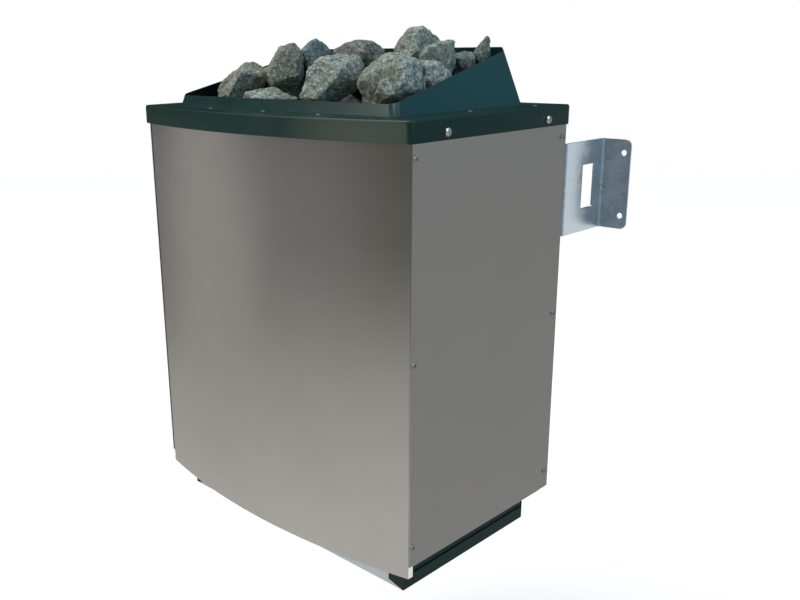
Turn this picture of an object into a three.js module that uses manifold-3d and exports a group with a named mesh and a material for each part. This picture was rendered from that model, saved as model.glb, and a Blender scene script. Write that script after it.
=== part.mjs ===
// Wall-hung electric sauna heater. A bowed stainless casing stands round an inner core of plain sheet,
// which holds the heating elements and the stones. A dark green frame closes the casing on top and
// carries the leaning stone hopper. Two hooks on the rear hang the heater on a galvanised wall bracket.
//
// Millimetres, +Z up. The sheets are drawn with z = 0 at the front panel's lower edge and y = 0 at the
// casing's front corners. The finished group is placed with its origin on the wall, midway between the
// bracket's four screw holes: +X is to the right seen from the room, +Y goes into the wall.
import * as THREE from 'three';
import { ConvexGeometry } from 'three/addons/geometries/ConvexGeometry.js';
import { mergeVertices } from 'three/addons/utils/BufferGeometryUtils.js';
import Module from 'manifold-3d';

// Clearance between pieces that touch
const GAP = 0.3;

// Casing
const CASING_WIDTH = 405;
const CASING_DEPTH = 247;
const CASING_HEIGHT = 431;
const CASING_BOW = 23.3;
const PANEL_SHEET = 1;
const FRONT_RETURN = 7;
const REAR_RETURN = 15;
const SIDE_RISE = 11;
const SIDE_HEM = 9;

// Top frame
const FRAME_SHEET = 1.2;
const FRAME_SKIRT = 20.4;
const FRAME_BOW = 27;
const FRAME_SIDE_LAP = 2.5;
const FRAME_FRONT_LAP = 4.2;
const FRAME_REAR_LAP = 1.6;
const FRAME_CORNER = 5;
const FRAME_REAR_CORNER = 1.5;

// Land of the frame's flange round the hopper
const SIDE_LAND = 39.6;
const FRONT_LAND = 20.8;
const REAR_LAND = 31.8;

// Stone hopper
const HOPPER_SHEET = 1.2;
const HOPPER_FRONT_HEIGHT = 11;
const HOPPER_REAR_HEIGHT = 57.6;
const HOPPER_LEAN = 0.25;
const HOPPER_CORNER = 6;
const HOPPER_FLANGE = 13;
const HOPPER_SIDE_FLANGE = 26;

// Screws through the frame's skirt
const SCREW_HEAD_RADIUS = 4;
const SCREW_HEAD_HEIGHT = 2.6;
const SCREW_RIM = 1.2;
const SCREW_RADIUS = 2;
const SCREW_LENGTH = 9;
const SCREW_CLEARANCE = 0.4;
const SCREW_RISE = 7.2;
const SCREW_FROM_FRONT = 44;
const SCREW_FROM_REAR = 40;

// Inner core and base tray
const BASE_DROP = 32.4;
const BASE_SIDE_INSET = 23;
const BASE_FRONT_INSET = 17.8;
const BASE_REAR_INSET = 15.2;
const TRAY_SHEET = 1.2;
const TRAY_WALL = 14.4;
const TRAY_REAR_WALL = 36;
const TRAY_TAB = 21;
const TRAY_TAB_CUT = 5;
const CORE_SHEET = 1.2;
const PLATE_SHEET = 1;
const CORE_FLANGE = 20;
const SLOT_WIDTH = 10;
const SLOT_PITCH = 26;
const SLOT_MARGIN = 10;

// Stone grate
const GRATE_HEIGHT = 86;
const GRATE_BAR = 6;
const LEDGE_WIDTH = 10;
const CROSSBAR_INSET = 5;

// Heating elements
const ELEMENT_RADIUS = 4;
const ELEMENT_SPACING = 90;
const ELEMENT_LEG_PITCH = 44;
const ELEMENT_LEGS = 4;
const ELEMENT_FOOT = 18;
const ELEMENT_TAIL = 16;
const ELEMENT_HOLE_CLEARANCE = 0.8;
const ELEMENT_CLEARANCE = 1.2;
const COLLAR_RADIUS = 8;
const COLLAR_HEIGHT = 8;

// Terminal box under the stone chamber
const TERMINAL_HEIGHT = 46;
const TERMINAL_MARGIN = 18;
const TERMINAL_LIP = 8;
const BLOCK_WIDTH = 66;
const BLOCK_DEPTH = 22;
const BLOCK_HEIGHT = 20;
const BLOCK_POLES = 5;
const POLE_RADIUS = 3.2;
const GLAND_X = -60;
const GLAND_RISE = 18;
const GLAND_THREAD = 8;
const GLAND_BORE = 5;
const GLAND_NUT = 12;
const GLAND_NUT_LENGTH = 7;
const GLAND_CAP = 10.8;
const GLAND_CAP_LENGTH = 8;
const GLAND_LIP = 7.2;
const GLAND_LENGTH = 22;
const LOCKNUT_THICKNESS = 4;

// Wall bracket and hooks
const BRACKET_SHEET = 2;
const BRACKET_HEIGHT = 100;
const BRACKET_DROP = 71;
const BRACKET_FROM_CASING = 3.2;
const WALL_DISTANCE = 83.2;
const WING_INSET = 0.5;
const WALL_FLANGE = 33;
const WALL_FLANGE_CORNER = 8;
const WALL_HOLE_RADIUS = 3.25;
const WALL_HOLE_FROM_EDGE = 8.3;
const WALL_HOLE_SPACING = 70;
const WINDOW_LENGTH = 22.5;
const WINDOW_HEIGHT = 48;
const WINDOW_FROM_WALL = 21.5;
const HOOK_SHEET = 2;
const HOOK_WIDTH = 40;
const HOOK_SPACING = 240;
const HOOK_TONGUE = 18;
const HOOK_BACK = 26;
const HOOK_RISE = 12;

// Stones
const STONE_LAYER_DEPTH = 52;
const STONE_GAP = 0.3;
const STONE_POINT_COUNT = 30;
const STONE_TOUCH = 14;
const STONE_SEAT = 0.55;
const ROUGH_LEAST = 0.84;
const ROUGH_RANGE = 0.26;
const FACE_LEAST = 0.45;
const FACE_RANGE = 0.3;
const SEEN_FACING = THREE.MathUtils.degToRad(46);
const BED_POINT_COUNT = 14;
const BED_ROWS = 4;
const BED_COLUMNS = 3;
const BED_FILL = 0.72;
const BED_SHIFT = 0.2;

// Values that follow from the sizes above
const halfWidth = CASING_WIDTH / 2;
const frameTop = CASING_HEIGHT + FRAME_SKIRT;
const panelTop = frameTop - FRAME_SHEET - GAP;
const frameHalf = halfWidth + FRAME_SIDE_LAP;
const frameFront = -FRAME_FRONT_LAP;
const frameRear = CASING_DEPTH + FRAME_REAR_LAP;
const hopperHalf = frameHalf - SIDE_LAND;
const hopperFront = frameFront + FRONT_LAND;
const hopperRear = frameRear - REAR_LAND;
const hopperFlangeTop = frameTop - FRAME_SHEET - GAP;
const coreTop = hopperFlangeTop - HOPPER_SHEET - GAP;
const trayBottom = -BASE_DROP;
const trayFloor = trayBottom + TRAY_SHEET;
const trayHalf = halfWidth - BASE_SIDE_INSET;
const trayFront = BASE_FRONT_INSET;
const trayRear = CASING_DEPTH - BASE_REAR_INSET;
const coreHalf = trayHalf - TRAY_SHEET - GAP;
const frontPlateFront = trayFront + TRAY_SHEET + GAP;
const coreFront = frontPlateFront + PLATE_SHEET + GAP;
const rearPlateRear = trayRear - TRAY_SHEET - GAP;
const coreRear = rearPlateRear - PLATE_SHEET - GAP;
const coreMiddle = (coreFront + coreRear) / 2;
const terminalTop = trayFloor + GAP + TERMINAL_HEIGHT;
const terminalHalf = ELEMENT_SPACING + TERMINAL_MARGIN;
const legSpan = (ELEMENT_LEGS - 1) * ELEMENT_LEG_PITCH;
const terminalFront = coreMiddle - legSpan / 2 - TERMINAL_MARGIN;
const terminalRear = coreMiddle + legSpan / 2 + TERMINAL_MARGIN;
const grateTop = trayFloor + GRATE_HEIGHT;
const stoneFloor = frameTop - STONE_LAYER_DEPTH;
const elementTop = stoneFloor - 2 * GAP;
const bracketMiddle = CASING_HEIGHT - BRACKET_DROP;
const bracketTop = bracketMiddle + BRACKET_HEIGHT / 2;
const wingOuter = halfWidth - WING_INSET;
const webFront = CASING_DEPTH + BRACKET_FROM_CASING;
const wallPlane = CASING_DEPTH + WALL_DISTANCE;
const glandHeight = trayBottom + GLAND_RISE;

const wasm = await Module();
wasm.setup();

// Finishes
const FINISHES = {
  stainless: { color: 0x8a8780, roughness: 0.35, metalness: 1 },
  green: { color: 0x1c2e2c, roughness: 0.45, metalness: 0.1 },
  galvanised: { color: 0xa4adb2, roughness: 0.4, metalness: 0.9 },
  zinc: { color: 0xb5b3ab, roughness: 0.3, metalness: 1 },
  element: { color: 0x4b4a47, roughness: 0.5, metalness: 0.8 },
  ceramic: { color: 0xe4ded0, roughness: 0.6, metalness: 0 },
  plastic: { color: 0x2b2d2f, roughness: 0.5, metalness: 0 },
  stone: { color: 0x7d8680, roughness: 0.95, metalness: 0 },
};

// Turns a closed three.js geometry into a solid for cutting and joining
function toSolid(geometry) {
  const plain = geometry.clone();
  plain.deleteAttribute('normal');
  plain.deleteAttribute('uv');
  const merged = mergeVertices(plain, 1e-4);
  return new wasm.Manifold(new wasm.Mesh({
    numProp: 3,
    vertProperties: new Float32Array(merged.attributes.position.array),
    triVerts: new Uint32Array(merged.index.array),
  }));
}

function toGeometry(solid) {
  const mesh = solid.getMesh();
  const geometry = new THREE.BufferGeometry();
  geometry.setAttribute('position', new THREE.BufferAttribute(mesh.vertProperties, 3));
  geometry.setIndex(new THREE.BufferAttribute(mesh.triVerts, 1));
  geometry.computeVertexNormals();
  return geometry;
}

function join(...geometries) {
  const solids = geometries.map(toSolid);
  return toGeometry(solids.reduce((whole, solid) => whole.add(solid)));
}

function cut(geometry, ...tools) {
  const solids = tools.map(toSolid);
  return toGeometry(solids.reduce((whole, solid) => whole.subtract(solid), toSolid(geometry)));
}

// A block between two corners
function block([x0, y0, z0], [x1, y1, z1]) {
  const geometry = new THREE.BoxGeometry(x1 - x0, y1 - y0, z1 - z0);
  return geometry.translate((x0 + x1) / 2, (y0 + y1) / 2, (z0 + z1) / 2);
}

// An outline in x and y, raised from z0 to z1
function raise(shape, z0, z1, curveSegments = 12) {
  const geometry = new THREE.ExtrudeGeometry(shape, { depth: z1 - z0, bevelEnabled: false, curveSegments });
  return geometry.translate(0, 0, z0);
}

// An outline in y and z, drawn out from x0 to x1
function drawOutX(shape, x0, x1) {
  const geometry = new THREE.ExtrudeGeometry(shape, { depth: x1 - x0, bevelEnabled: false });
  const turn = new THREE.Matrix4().makeBasis(
    new THREE.Vector3(0, 1, 0), new THREE.Vector3(0, 0, 1), new THREE.Vector3(1, 0, 0));
  return geometry.applyMatrix4(turn).translate(x0, 0, 0);
}

// An outline in x and z, drawn out from y0 to y1
function drawOutY(shape, y0, y1, curveSegments = 6) {
  const geometry = new THREE.ExtrudeGeometry(shape, { depth: y1 - y0, bevelEnabled: false, curveSegments });
  const turn = new THREE.Matrix4().makeBasis(
    new THREE.Vector3(1, 0, 0), new THREE.Vector3(0, 0, 1), new THREE.Vector3(0, -1, 0));
  return geometry.applyMatrix4(turn).translate(0, y1, 0);
}

function outline(points) {
  return new THREE.Shape(points.map(([u, v]) => new THREE.Vector2(u, v)));
}

// Round bars and holes along the three axes
function roundX(radius, x0, x1, y, z, sides = 12) {
  const geometry = new THREE.CylinderGeometry(radius, radius, x1 - x0, sides);
  return geometry.rotateZ(-Math.PI / 2).translate((x0 + x1) / 2, y, z);
}

function roundY(radius, y0, y1, x, z, sides = 16) {
  const geometry = new THREE.CylinderGeometry(radius, radius, y1 - y0, sides);
  return geometry.translate(x, (y0 + y1) / 2, z);
}

function roundZ(radius, z0, z1, x, y, sides = 12) {
  const geometry = new THREE.CylinderGeometry(radius, radius, z1 - z0, sides);
  return geometry.rotateX(Math.PI / 2).translate(x, y, (z0 + z1) / 2);
}

const heater = new THREE.Group();

function place(name, geometry, finish) {
  const mesh = new THREE.Mesh(geometry, new THREE.MeshStandardMaterial(FINISHES[finish]));
  mesh.name = name;
  heater.add(mesh);
}

// Bow of a front edge: the circle through both corners and the middle of the bow
function bowCircle(half, bow, cornerY) {
  const radius = (half * half + bow * bow) / (2 * bow);
  return { radius, centreY: cornerY - bow + radius };
}

// Front panel: one sheet, bowed, with both edges folded back inside the side panels
function frontPanel() {
  const outer = halfWidth - PANEL_SHEET - GAP;
  const inner = outer - PANEL_SHEET;
  const { radius, centreY } = bowCircle(outer, CASING_BOW, 0);
  const innerRadius = radius - PANEL_SHEET;
  const swing = Math.asin(outer / radius);
  const innerSwing = Math.asin(inner / innerRadius);
  const down = -Math.PI / 2;
  const shape = new THREE.Shape();
  shape.moveTo(-outer, FRONT_RETURN);
  shape.lineTo(-outer, 0);
  shape.absarc(0, centreY, radius, down - swing, down + swing, false);
  shape.lineTo(outer, FRONT_RETURN);
  shape.lineTo(inner, FRONT_RETURN);
  shape.absarc(0, centreY, innerRadius, down + innerSwing, down - innerSwing, true);
  shape.lineTo(-inner, FRONT_RETURN);
  shape.closePath();
  return raise(shape, 0, panelTop, 9);
}

// Side panel: a flat sheet with a hem folded inwards at the bottom and holes for the frame's screws
function sidePanel(side) {
  const sheet = block([halfWidth - PANEL_SHEET, 0, SIDE_RISE], [halfWidth, CASING_DEPTH, panelTop]);
  const hem = block(
    [halfWidth - SIDE_HEM, FRONT_RETURN + GAP, SIDE_RISE],
    [halfWidth - PANEL_SHEET / 2, CASING_DEPTH - REAR_RETURN - GAP, SIDE_RISE + PANEL_SHEET]);
  const holes = frameScrewPlaces().map((y) => screwHole(y));
  return mirrorX(cut(join(sheet, hem), ...holes), side);
}

// The right-hand piece as drawn, or its mirror image for the left
function mirrorX(geometry, side) {
  if (side > 0) return geometry;
  const mirrored = geometry.clone().scale(-1, 1, 1);
  const index = mirrored.index.array;
  for (let i = 0; i < index.length; i += 3) {
    [index[i], index[i + 1]] = [index[i + 1], index[i]];
  }
  return mirrored;
}

function frameScrewPlaces() {
  return [SCREW_FROM_FRONT, CASING_DEPTH - SCREW_FROM_REAR];
}

function screwHole(y) {
  const z = CASING_HEIGHT + SCREW_RISE;
  return roundX(SCREW_RADIUS + SCREW_CLEARANCE, halfWidth - SIDE_HEM, frameHalf + SIDE_HEM, y, z);
}

// Rear panel: a sheet between the side panels, its edges folded forward behind them
function rearPanel() {
  const outer = halfWidth - PANEL_SHEET - GAP;
  const inner = outer - PANEL_SHEET;
  const face = CASING_DEPTH - PANEL_SHEET;
  const front = CASING_DEPTH - REAR_RETURN;
  const shape = outline([
    [-outer, CASING_DEPTH], [-outer, front], [-inner, front], [-inner, face],
    [inner, face], [inner, front], [outer, front], [outer, CASING_DEPTH],
  ]);
  return raise(shape, SIDE_RISE, panelTop);
}

// Outline with a bowed front edge and rounded corners
function bowedOutline(half, front, rear, bow, corner, rearCorner) {
  const { radius, centreY } = bowCircle(half, bow, front);
  const frontAt = (x) => centreY - Math.sqrt(radius * radius - x * x);
  const start = half - corner;
  const swing = Math.asin(start / radius);
  const down = -Math.PI / 2;
  const shape = new THREE.Shape();
  shape.moveTo(-half, rear - rearCorner);
  shape.lineTo(-half, frontAt(half) + corner);
  shape.quadraticCurveTo(-half, frontAt(half), -start, frontAt(start));
  shape.absarc(0, centreY, radius, down - swing, down + swing, false);
  shape.quadraticCurveTo(half, frontAt(half), half, frontAt(half) + corner);
  shape.lineTo(half, rear - rearCorner);
  shape.lineTo(half - rearCorner, rear);
  shape.lineTo(rearCorner - half, rear);
  shape.closePath();
  return shape;
}

// Top frame: a folded flange with a skirt over the casing's upper edge, open where the hopper comes up
function topFrame() {
  const outer = bowedOutline(
    frameHalf, frameFront, frameRear, FRAME_BOW, FRAME_CORNER, FRAME_REAR_CORNER);
  const inner = bowedOutline(
    frameHalf - FRAME_SHEET, frameFront + FRAME_SHEET, frameRear - FRAME_SHEET,
    FRAME_BOW, FRAME_CORNER - FRAME_SHEET, FRAME_REAR_CORNER - FRAME_SHEET);
  const below = FRAME_SKIRT;
  const pan = raise(outer, CASING_HEIGHT, frameTop, 9);
  const hollow = raise(inner, CASING_HEIGHT - below, frameTop - FRAME_SHEET, 9);
  const mouth = hopperBlock(GAP, -FRAME_SKIRT, FRAME_SKIRT);
  const holes = frameScrewPlaces().flatMap((y) => [screwHole(y), mirrorX(screwHole(y), -1)]);
  return cut(pan, hollow, mouth, ...holes);
}

// The leaning form of the hopper. grow widens it all round, and it reaches from depth "from" to height "to"
// measured at the frame's top face. Without a height it ends at the hopper's sloping rim.
function hopperBlock(grow, from, to = null) {
  const points = [];
  const slope = (HOPPER_REAR_HEIGHT - HOPPER_FRONT_HEIGHT) / (hopperRear - hopperFront);
  const rimAt = (y) => HOPPER_FRONT_HEIGHT + slope * (y - hopperFront);
  const corners = [[-1, -1], [1, -1], [1, 1], [-1, 1]];
  const ring = (heightAt) => {
    for (const [sx, sy] of corners) {
      for (let step = 0; step <= 3; step += 1) {
        const turn = (step / 3) * (Math.PI / 2);
        const base = sy < 0 ? hopperFront : hopperRear;
        const h = heightAt(base);
        const lean = HOPPER_LEAN * h - grow;
        const x = sx * (hopperHalf - lean - HOPPER_CORNER * (1 - Math.cos(turn)));
        const y = base - sy * (lean + HOPPER_CORNER * (1 - Math.sin(turn)));
        points.push(new THREE.Vector3(x, y, frameTop + h));
      }
    }
  };
  ring(() => from);
  ring(to === null ? rimAt : () => to);
  return new ConvexGeometry(points);
}

// Stone hopper: four leaning walls welded at the corners, on a flange that lies under the frame's flange
function stoneHopper() {
  const rise = HOPPER_REAR_HEIGHT + HOPPER_CORNER;
  const foot = hopperFlangeTop - frameTop - HOPPER_SHEET;
  const walls = hopperBlock(0, foot);
  const flange = block(
    [-hopperHalf - HOPPER_SIDE_FLANGE, hopperFront - HOPPER_FLANGE, hopperFlangeTop - HOPPER_SHEET],
    [hopperHalf + HOPPER_SIDE_FLANGE, hopperRear + HOPPER_FLANGE, hopperFlangeTop]);
  return cut(join(walls, flange), hopperBlock(-HOPPER_SHEET, -rise, rise));
}

// Pan-head screw through the skirt and the side panel, lying along x
function frameScrew(side, y) {
  const dome = [0, 1, 2].map((step) => (step / 3) * (Math.PI / 2)).map((turn) => [
    SCREW_HEAD_RADIUS * Math.cos(turn), SCREW_RIM + (SCREW_HEAD_HEIGHT - SCREW_RIM) * Math.sin(turn)]);
  const profile = [
    [0, -SCREW_LENGTH], [SCREW_RADIUS, -SCREW_LENGTH], [SCREW_RADIUS, 0], [SCREW_HEAD_RADIUS, 0],
    ...dome, [0, SCREW_HEAD_HEIGHT],
  ].map(([r, h]) => new THREE.Vector2(r, h));
  const geometry = new THREE.LatheGeometry(profile, 14);
  const seat = frameHalf + GAP;
  geometry.rotateZ(-side * Math.PI / 2);
  return geometry.translate(side * seat, y, CASING_HEIGHT + SCREW_RISE);
}

// Core side plate: a sheet with folded front and rear flanges and a ledge for the stone grate
function coreSide(side) {
  const inner = coreHalf - CORE_SHEET;
  const flangeEnd = coreHalf - CORE_FLANGE;
  const shape = outline([
    [coreHalf, coreFront], [coreHalf, coreRear], [flangeEnd, coreRear], [flangeEnd, coreRear - CORE_SHEET],
    [inner, coreRear - CORE_SHEET], [inner, coreFront + CORE_SHEET],
    [flangeEnd, coreFront + CORE_SHEET], [flangeEnd, coreFront],
  ]);
  const sheet = raise(shape, trayFloor + GAP, coreTop);
  const ledgeTop = grateTop - 2 * GRATE_BAR + GAP;
  const ledge = block(
    [inner - LEDGE_WIDTH, coreFront + CORE_FLANGE, ledgeTop - CORE_SHEET],
    [inner + CORE_SHEET / 2, coreRear - CORE_FLANGE, ledgeTop]);
  return mirrorX(join(sheet, ledge), side);
}

// Front and rear core plates: flat galvanised sheets against the side plates' flanges
function frontCorePlate() {
  return block([-coreHalf, frontPlateFront, trayBottom], [coreHalf, frontPlateFront + PLATE_SHEET, coreTop]);
}

function rearCorePlate() {
  const plate = block(
    [-coreHalf, rearPlateRear - PLATE_SHEET, trayFloor + GAP], [coreHalf, rearPlateRear, coreTop]);
  return cut(plate, glandHole());
}

function glandHole() {
  return roundY(GLAND_THREAD + GAP, coreRear - REAR_RETURN, CASING_DEPTH, GLAND_X, glandHeight);
}

// Base tray: a pan with low side walls, cut tabs round the front corners, a higher rear wall for the cable
// gland, air slots beside the terminal box and a hatch under it
function baseTray() {
  const floorFront = frontPlateFront + PLATE_SHEET + GAP;
  const floor = block([-trayHalf, floorFront, trayBottom], [trayHalf, trayRear, trayFloor]);
  const rearWall = block(
    [-trayHalf, trayRear - TRAY_SHEET, trayBottom], [trayHalf, trayRear, trayBottom + TRAY_REAR_WALL]);
  const sides = [-1, 1].flatMap((side) => {
    const wall = block(
      [trayHalf - TRAY_SHEET, trayFront, trayBottom], [trayHalf, trayRear, trayBottom + TRAY_WALL]);
    const tab = drawOutY(outline([
      [trayHalf, trayBottom], [trayHalf, trayBottom + TRAY_WALL],
      [trayHalf - TRAY_TAB, trayBottom + TRAY_WALL], [trayHalf - TRAY_TAB, trayBottom + TRAY_TAB_CUT],
      [trayHalf - TRAY_SHEET, trayBottom],
    ]), trayFront, trayFront + TRAY_SHEET);
    return [wall, tab].map((geometry) => mirrorX(indexed(geometry), side));
  });
  const hatch = block(
    [-terminalHalf + TERMINAL_LIP, terminalFront + TERMINAL_LIP, trayBottom - TRAY_WALL],
    [terminalHalf - TERMINAL_LIP, terminalRear - TERMINAL_LIP, trayFloor + TRAY_WALL]);
  return cut(join(floor, rearWall, ...sides), hatch, glandHole(), ...airSlots());
}

function indexed(geometry) {
  const plain = geometry.clone();
  plain.deleteAttribute('normal');
  plain.deleteAttribute('uv');
  return mergeVertices(plain, 1e-4);
}

function airSlots() {
  const inner = terminalHalf + SLOT_MARGIN;
  const outer = coreHalf - CORE_SHEET - SLOT_MARGIN;
  const run = terminalRear - terminalFront - SLOT_WIDTH;
  const count = Math.floor(run / SLOT_PITCH) + 1;
  const first = coreMiddle - ((count - 1) * SLOT_PITCH) / 2;
  const slots = [];
  for (let i = 0; i < count; i += 1) {
    const y = first + i * SLOT_PITCH;
    for (const side of [-1, 1]) {
      const x0 = Math.min(side * inner, side * outer);
      const x1 = Math.max(side * inner, side * outer);
      slots.push(block(
        [x0, y - SLOT_WIDTH / 2, trayBottom - TRAY_SHEET], [x1, y + SLOT_WIDTH / 2, trayFloor + TRAY_SHEET]));
    }
  }
  return slots;
}

// Stone grate: bars from front to rear, welded on two crossbars that lie on the side plates' ledges
function stoneGrate() {
  const half = coreHalf - CORE_SHEET - GAP;
  const barFront = coreFront + CORE_SHEET + GAP;
  const barRear = coreRear - CORE_SHEET - GAP;
  const pitch = ELEMENT_SPACING / 3;
  const pairs = Math.floor((half - GRATE_BAR) / pitch + 0.5);
  const bars = [];
  for (let i = -pairs; i < pairs; i += 1) {
    const x = (i + 0.5) * pitch;
    bars.push(block(
      [x - GRATE_BAR / 2, barFront, grateTop - GRATE_BAR], [x + GRATE_BAR / 2, barRear, grateTop]));
  }
  const crossbars = [coreFront + CORE_FLANGE + CROSSBAR_INSET, coreRear - CORE_FLANGE - CROSSBAR_INSET];
  for (const y of crossbars) {
    bars.push(block(
      [-half, y - GRATE_BAR / 2, grateTop - 2 * GRATE_BAR + 2 * GAP],
      [half, y + GRATE_BAR / 2, grateTop - GRATE_BAR + GAP]));
  }
  return join(...bars);
}

// The bent centre line of one element: legs up and down, joined by half turns, in a plane along y and z.
// Each leg is one step and each half turn six, whatever their lengths.
class BentTube extends THREE.Curve {
  constructor(stations) {
    super();
    this.stations = stations;
  }

  getUtoTmapping(u) {
    return u;
  }

  getPoint(t) {
    const last = this.stations.length - 1;
    const at = Math.min(Math.max(t, 0), 1) * last;
    const i = Math.min(Math.floor(at), last - 1);
    return this.stations[i].clone().lerp(this.stations[i + 1], at - i);
  }
}

// Heating element: a bent tube whose two ends pass down into the terminal box, each with a hex collar
function heatingElement(x) {
  const bend = ELEMENT_LEG_PITCH / 2;
  const low = grateTop + ELEMENT_FOOT + bend + ELEMENT_RADIUS;
  const high = elementTop - ELEMENT_RADIUS - bend;
  const tail = terminalTop - ELEMENT_TAIL;
  const firstLeg = coreMiddle - legSpan / 2;
  const stations = [new THREE.Vector3(x, firstLeg, tail)];
  for (let leg = 0; leg < ELEMENT_LEGS - 1; leg += 1) {
    const rising = leg % 2 === 0;
    const middle = firstLeg + (leg + 0.5) * ELEMENT_LEG_PITCH;
    for (let step = 0; step <= 6; step += 1) {
      const turn = (Math.PI * step) / 6;
      const z = rising ? high + bend * Math.sin(turn) : low - bend * Math.sin(turn);
      stations.push(new THREE.Vector3(x, middle - bend * Math.cos(turn), z));
    }
  }
  stations.push(new THREE.Vector3(x, firstLeg + legSpan, tail));
  const section = new THREE.Shape();
  section.absarc(0, 0, ELEMENT_RADIUS, 0, 2 * Math.PI, false);
  const tube = new THREE.ExtrudeGeometry(section, {
    steps: stations.length - 1, extrudePath: new BentTube(stations), curveSegments: 4,
  });
  const collars = [firstLeg, firstLeg + legSpan].map((y) => roundZ(
    COLLAR_RADIUS, terminalTop + GAP, terminalTop + GAP + COLLAR_HEIGHT, x, y, 6));
  return join(tube, ...collars);
}

// Terminal box: an inverted sheet pan on the tray's floor, its top pierced for the elements' ends
function terminalBox() {
  const foot = trayFloor + GAP;
  const outer = block([-terminalHalf, terminalFront, foot], [terminalHalf, terminalRear, terminalTop]);
  const inner = block(
    [-terminalHalf + TRAY_SHEET, terminalFront + TRAY_SHEET, foot - TRAY_SHEET],
    [terminalHalf - TRAY_SHEET, terminalRear - TRAY_SHEET, terminalTop - TRAY_SHEET]);
  const holes = [];
  for (const x of elementPlaces()) {
    for (const y of [coreMiddle - legSpan / 2, coreMiddle + legSpan / 2]) {
      holes.push(roundZ(
        ELEMENT_RADIUS + ELEMENT_HOLE_CLEARANCE, terminalTop - TERMINAL_LIP, terminalTop + TERMINAL_LIP, x, y, 8));
    }
  }
  const cableHole = roundY(GLAND_THREAD, terminalRear - TERMINAL_LIP, terminalRear + TERMINAL_LIP,
    GLAND_X, glandHeight);
  return cut(outer, inner, cableHole, ...holes);
}

function elementPlaces() {
  return [-ELEMENT_SPACING, 0, ELEMENT_SPACING];
}

// Terminal cover: a flat hatch plate screwed on from below
function terminalCover() {
  return block(
    [-terminalHalf, terminalFront, trayBottom - GAP - TRAY_SHEET],
    [terminalHalf, terminalRear, trayBottom - GAP]);
}

// Terminal block: ceramic, against the box's rear wall between two elements, with a row of screw wells
function terminalBlock() {
  const left = (ELEMENT_SPACING - BLOCK_WIDTH) / 2;
  const rear = terminalRear - TRAY_SHEET - GAP;
  const foot = terminalTop - TRAY_SHEET - GAP - BLOCK_HEIGHT;
  const body = block([left, rear - BLOCK_DEPTH, foot], [left + BLOCK_WIDTH, rear, foot + BLOCK_HEIGHT]);
  const pitch = BLOCK_WIDTH / BLOCK_POLES;
  const wells = [];
  for (let i = 0; i < BLOCK_POLES; i += 1) {
    const x = left + (i + 0.5) * pitch;
    const y = rear - BLOCK_DEPTH / 2;
    wells.push(roundZ(POLE_RADIUS, foot - POLE_RADIUS, foot + BLOCK_HEIGHT / 2, x, y, 8));
  }
  return cut(body, ...wells);
}

// Cable gland through the tray's rear wall, with its bore open from end to end
function cableGland() {
  const seat = trayRear + GAP;
  const inside = rearPlateRear - PLATE_SHEET - GAP - LOCKNUT_THICKNESS - GAP;
  const nutEnd = seat + GLAND_NUT_LENGTH;
  const capEnd = nutEnd + GLAND_CAP_LENGTH;
  const end = seat + GLAND_LENGTH;
  const profile = [
    [GLAND_BORE, inside], [GLAND_THREAD, inside], [GLAND_THREAD, seat], [GLAND_NUT, seat],
    [GLAND_NUT, nutEnd], [GLAND_CAP, nutEnd], [GLAND_CAP, capEnd], [GLAND_LIP, end], [GLAND_BORE, end],
    [GLAND_BORE, inside],
  ].map(([r, y]) => new THREE.Vector2(r, y));
  return new THREE.LatheGeometry(profile, 16).translate(GLAND_X, 0, glandHeight);
}

function glandLocknut() {
  const face = rearPlateRear - PLATE_SHEET - GAP;
  const hexagon = roundY(GLAND_NUT, face - LOCKNUT_THICKNESS, face, GLAND_X, glandHeight, 6);
  const bore = roundY(GLAND_THREAD + GAP, face - 2 * LOCKNUT_THICKNESS, face + GAP, GLAND_X, glandHeight);
  return cut(hexagon, bore);
}

// Hook: a folded strip riveted on the rear panel, whose tongue drops behind the bracket's web
function hook(side) {
  const front = CASING_DEPTH + GAP;
  const tongueFront = webFront + BRACKET_SHEET + GAP;
  const rear = tongueFront + HOOK_SHEET;
  const seat = bracketTop + GAP;
  const shape = outline([
    [front, seat - HOOK_BACK], [front + HOOK_SHEET, seat - HOOK_BACK], [front + HOOK_SHEET, seat],
    [tongueFront, seat], [tongueFront, seat - HOOK_TONGUE], [rear, seat - HOOK_TONGUE],
    [rear, seat + HOOK_SHEET], [front + HOOK_SHEET, seat + HOOK_SHEET],
    [front + HOOK_SHEET, seat + HOOK_RISE], [front, seat + HOOK_RISE],
  ]);
  const middle = (side * HOOK_SPACING) / 2;
  return drawOutX(shape, middle - HOOK_WIDTH / 2, middle + HOOK_WIDTH / 2);
}

// Wall bracket: one galvanised sheet, folded into a web, two wings with windows and two wall flanges
function wallBracket() {
  const low = bracketMiddle - BRACKET_HEIGHT / 2;
  const inner = wingOuter - BRACKET_SHEET;
  const web = raise(outline([
    [-wingOuter, wallPlane], [-wingOuter, webFront], [wingOuter, webFront], [wingOuter, wallPlane],
    [inner, wallPlane], [inner, webFront + BRACKET_SHEET], [-inner, webFront + BRACKET_SHEET],
    [-inner, wallPlane],
  ]), low, bracketTop);
  const windowMiddle = wallPlane - WINDOW_FROM_WALL - WINDOW_LENGTH / 2;
  const windowTool = block(
    [-halfWidth - WALL_FLANGE, windowMiddle - WINDOW_LENGTH / 2, bracketMiddle - WINDOW_HEIGHT / 2],
    [halfWidth + WALL_FLANGE, windowMiddle + WINDOW_LENGTH / 2, bracketMiddle + WINDOW_HEIGHT / 2]);
  const flanges = [-1, 1].map((side) => mirrorX(indexed(wallFlange()), side));
  return join(cut(web, windowTool), ...flanges);
}

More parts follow.
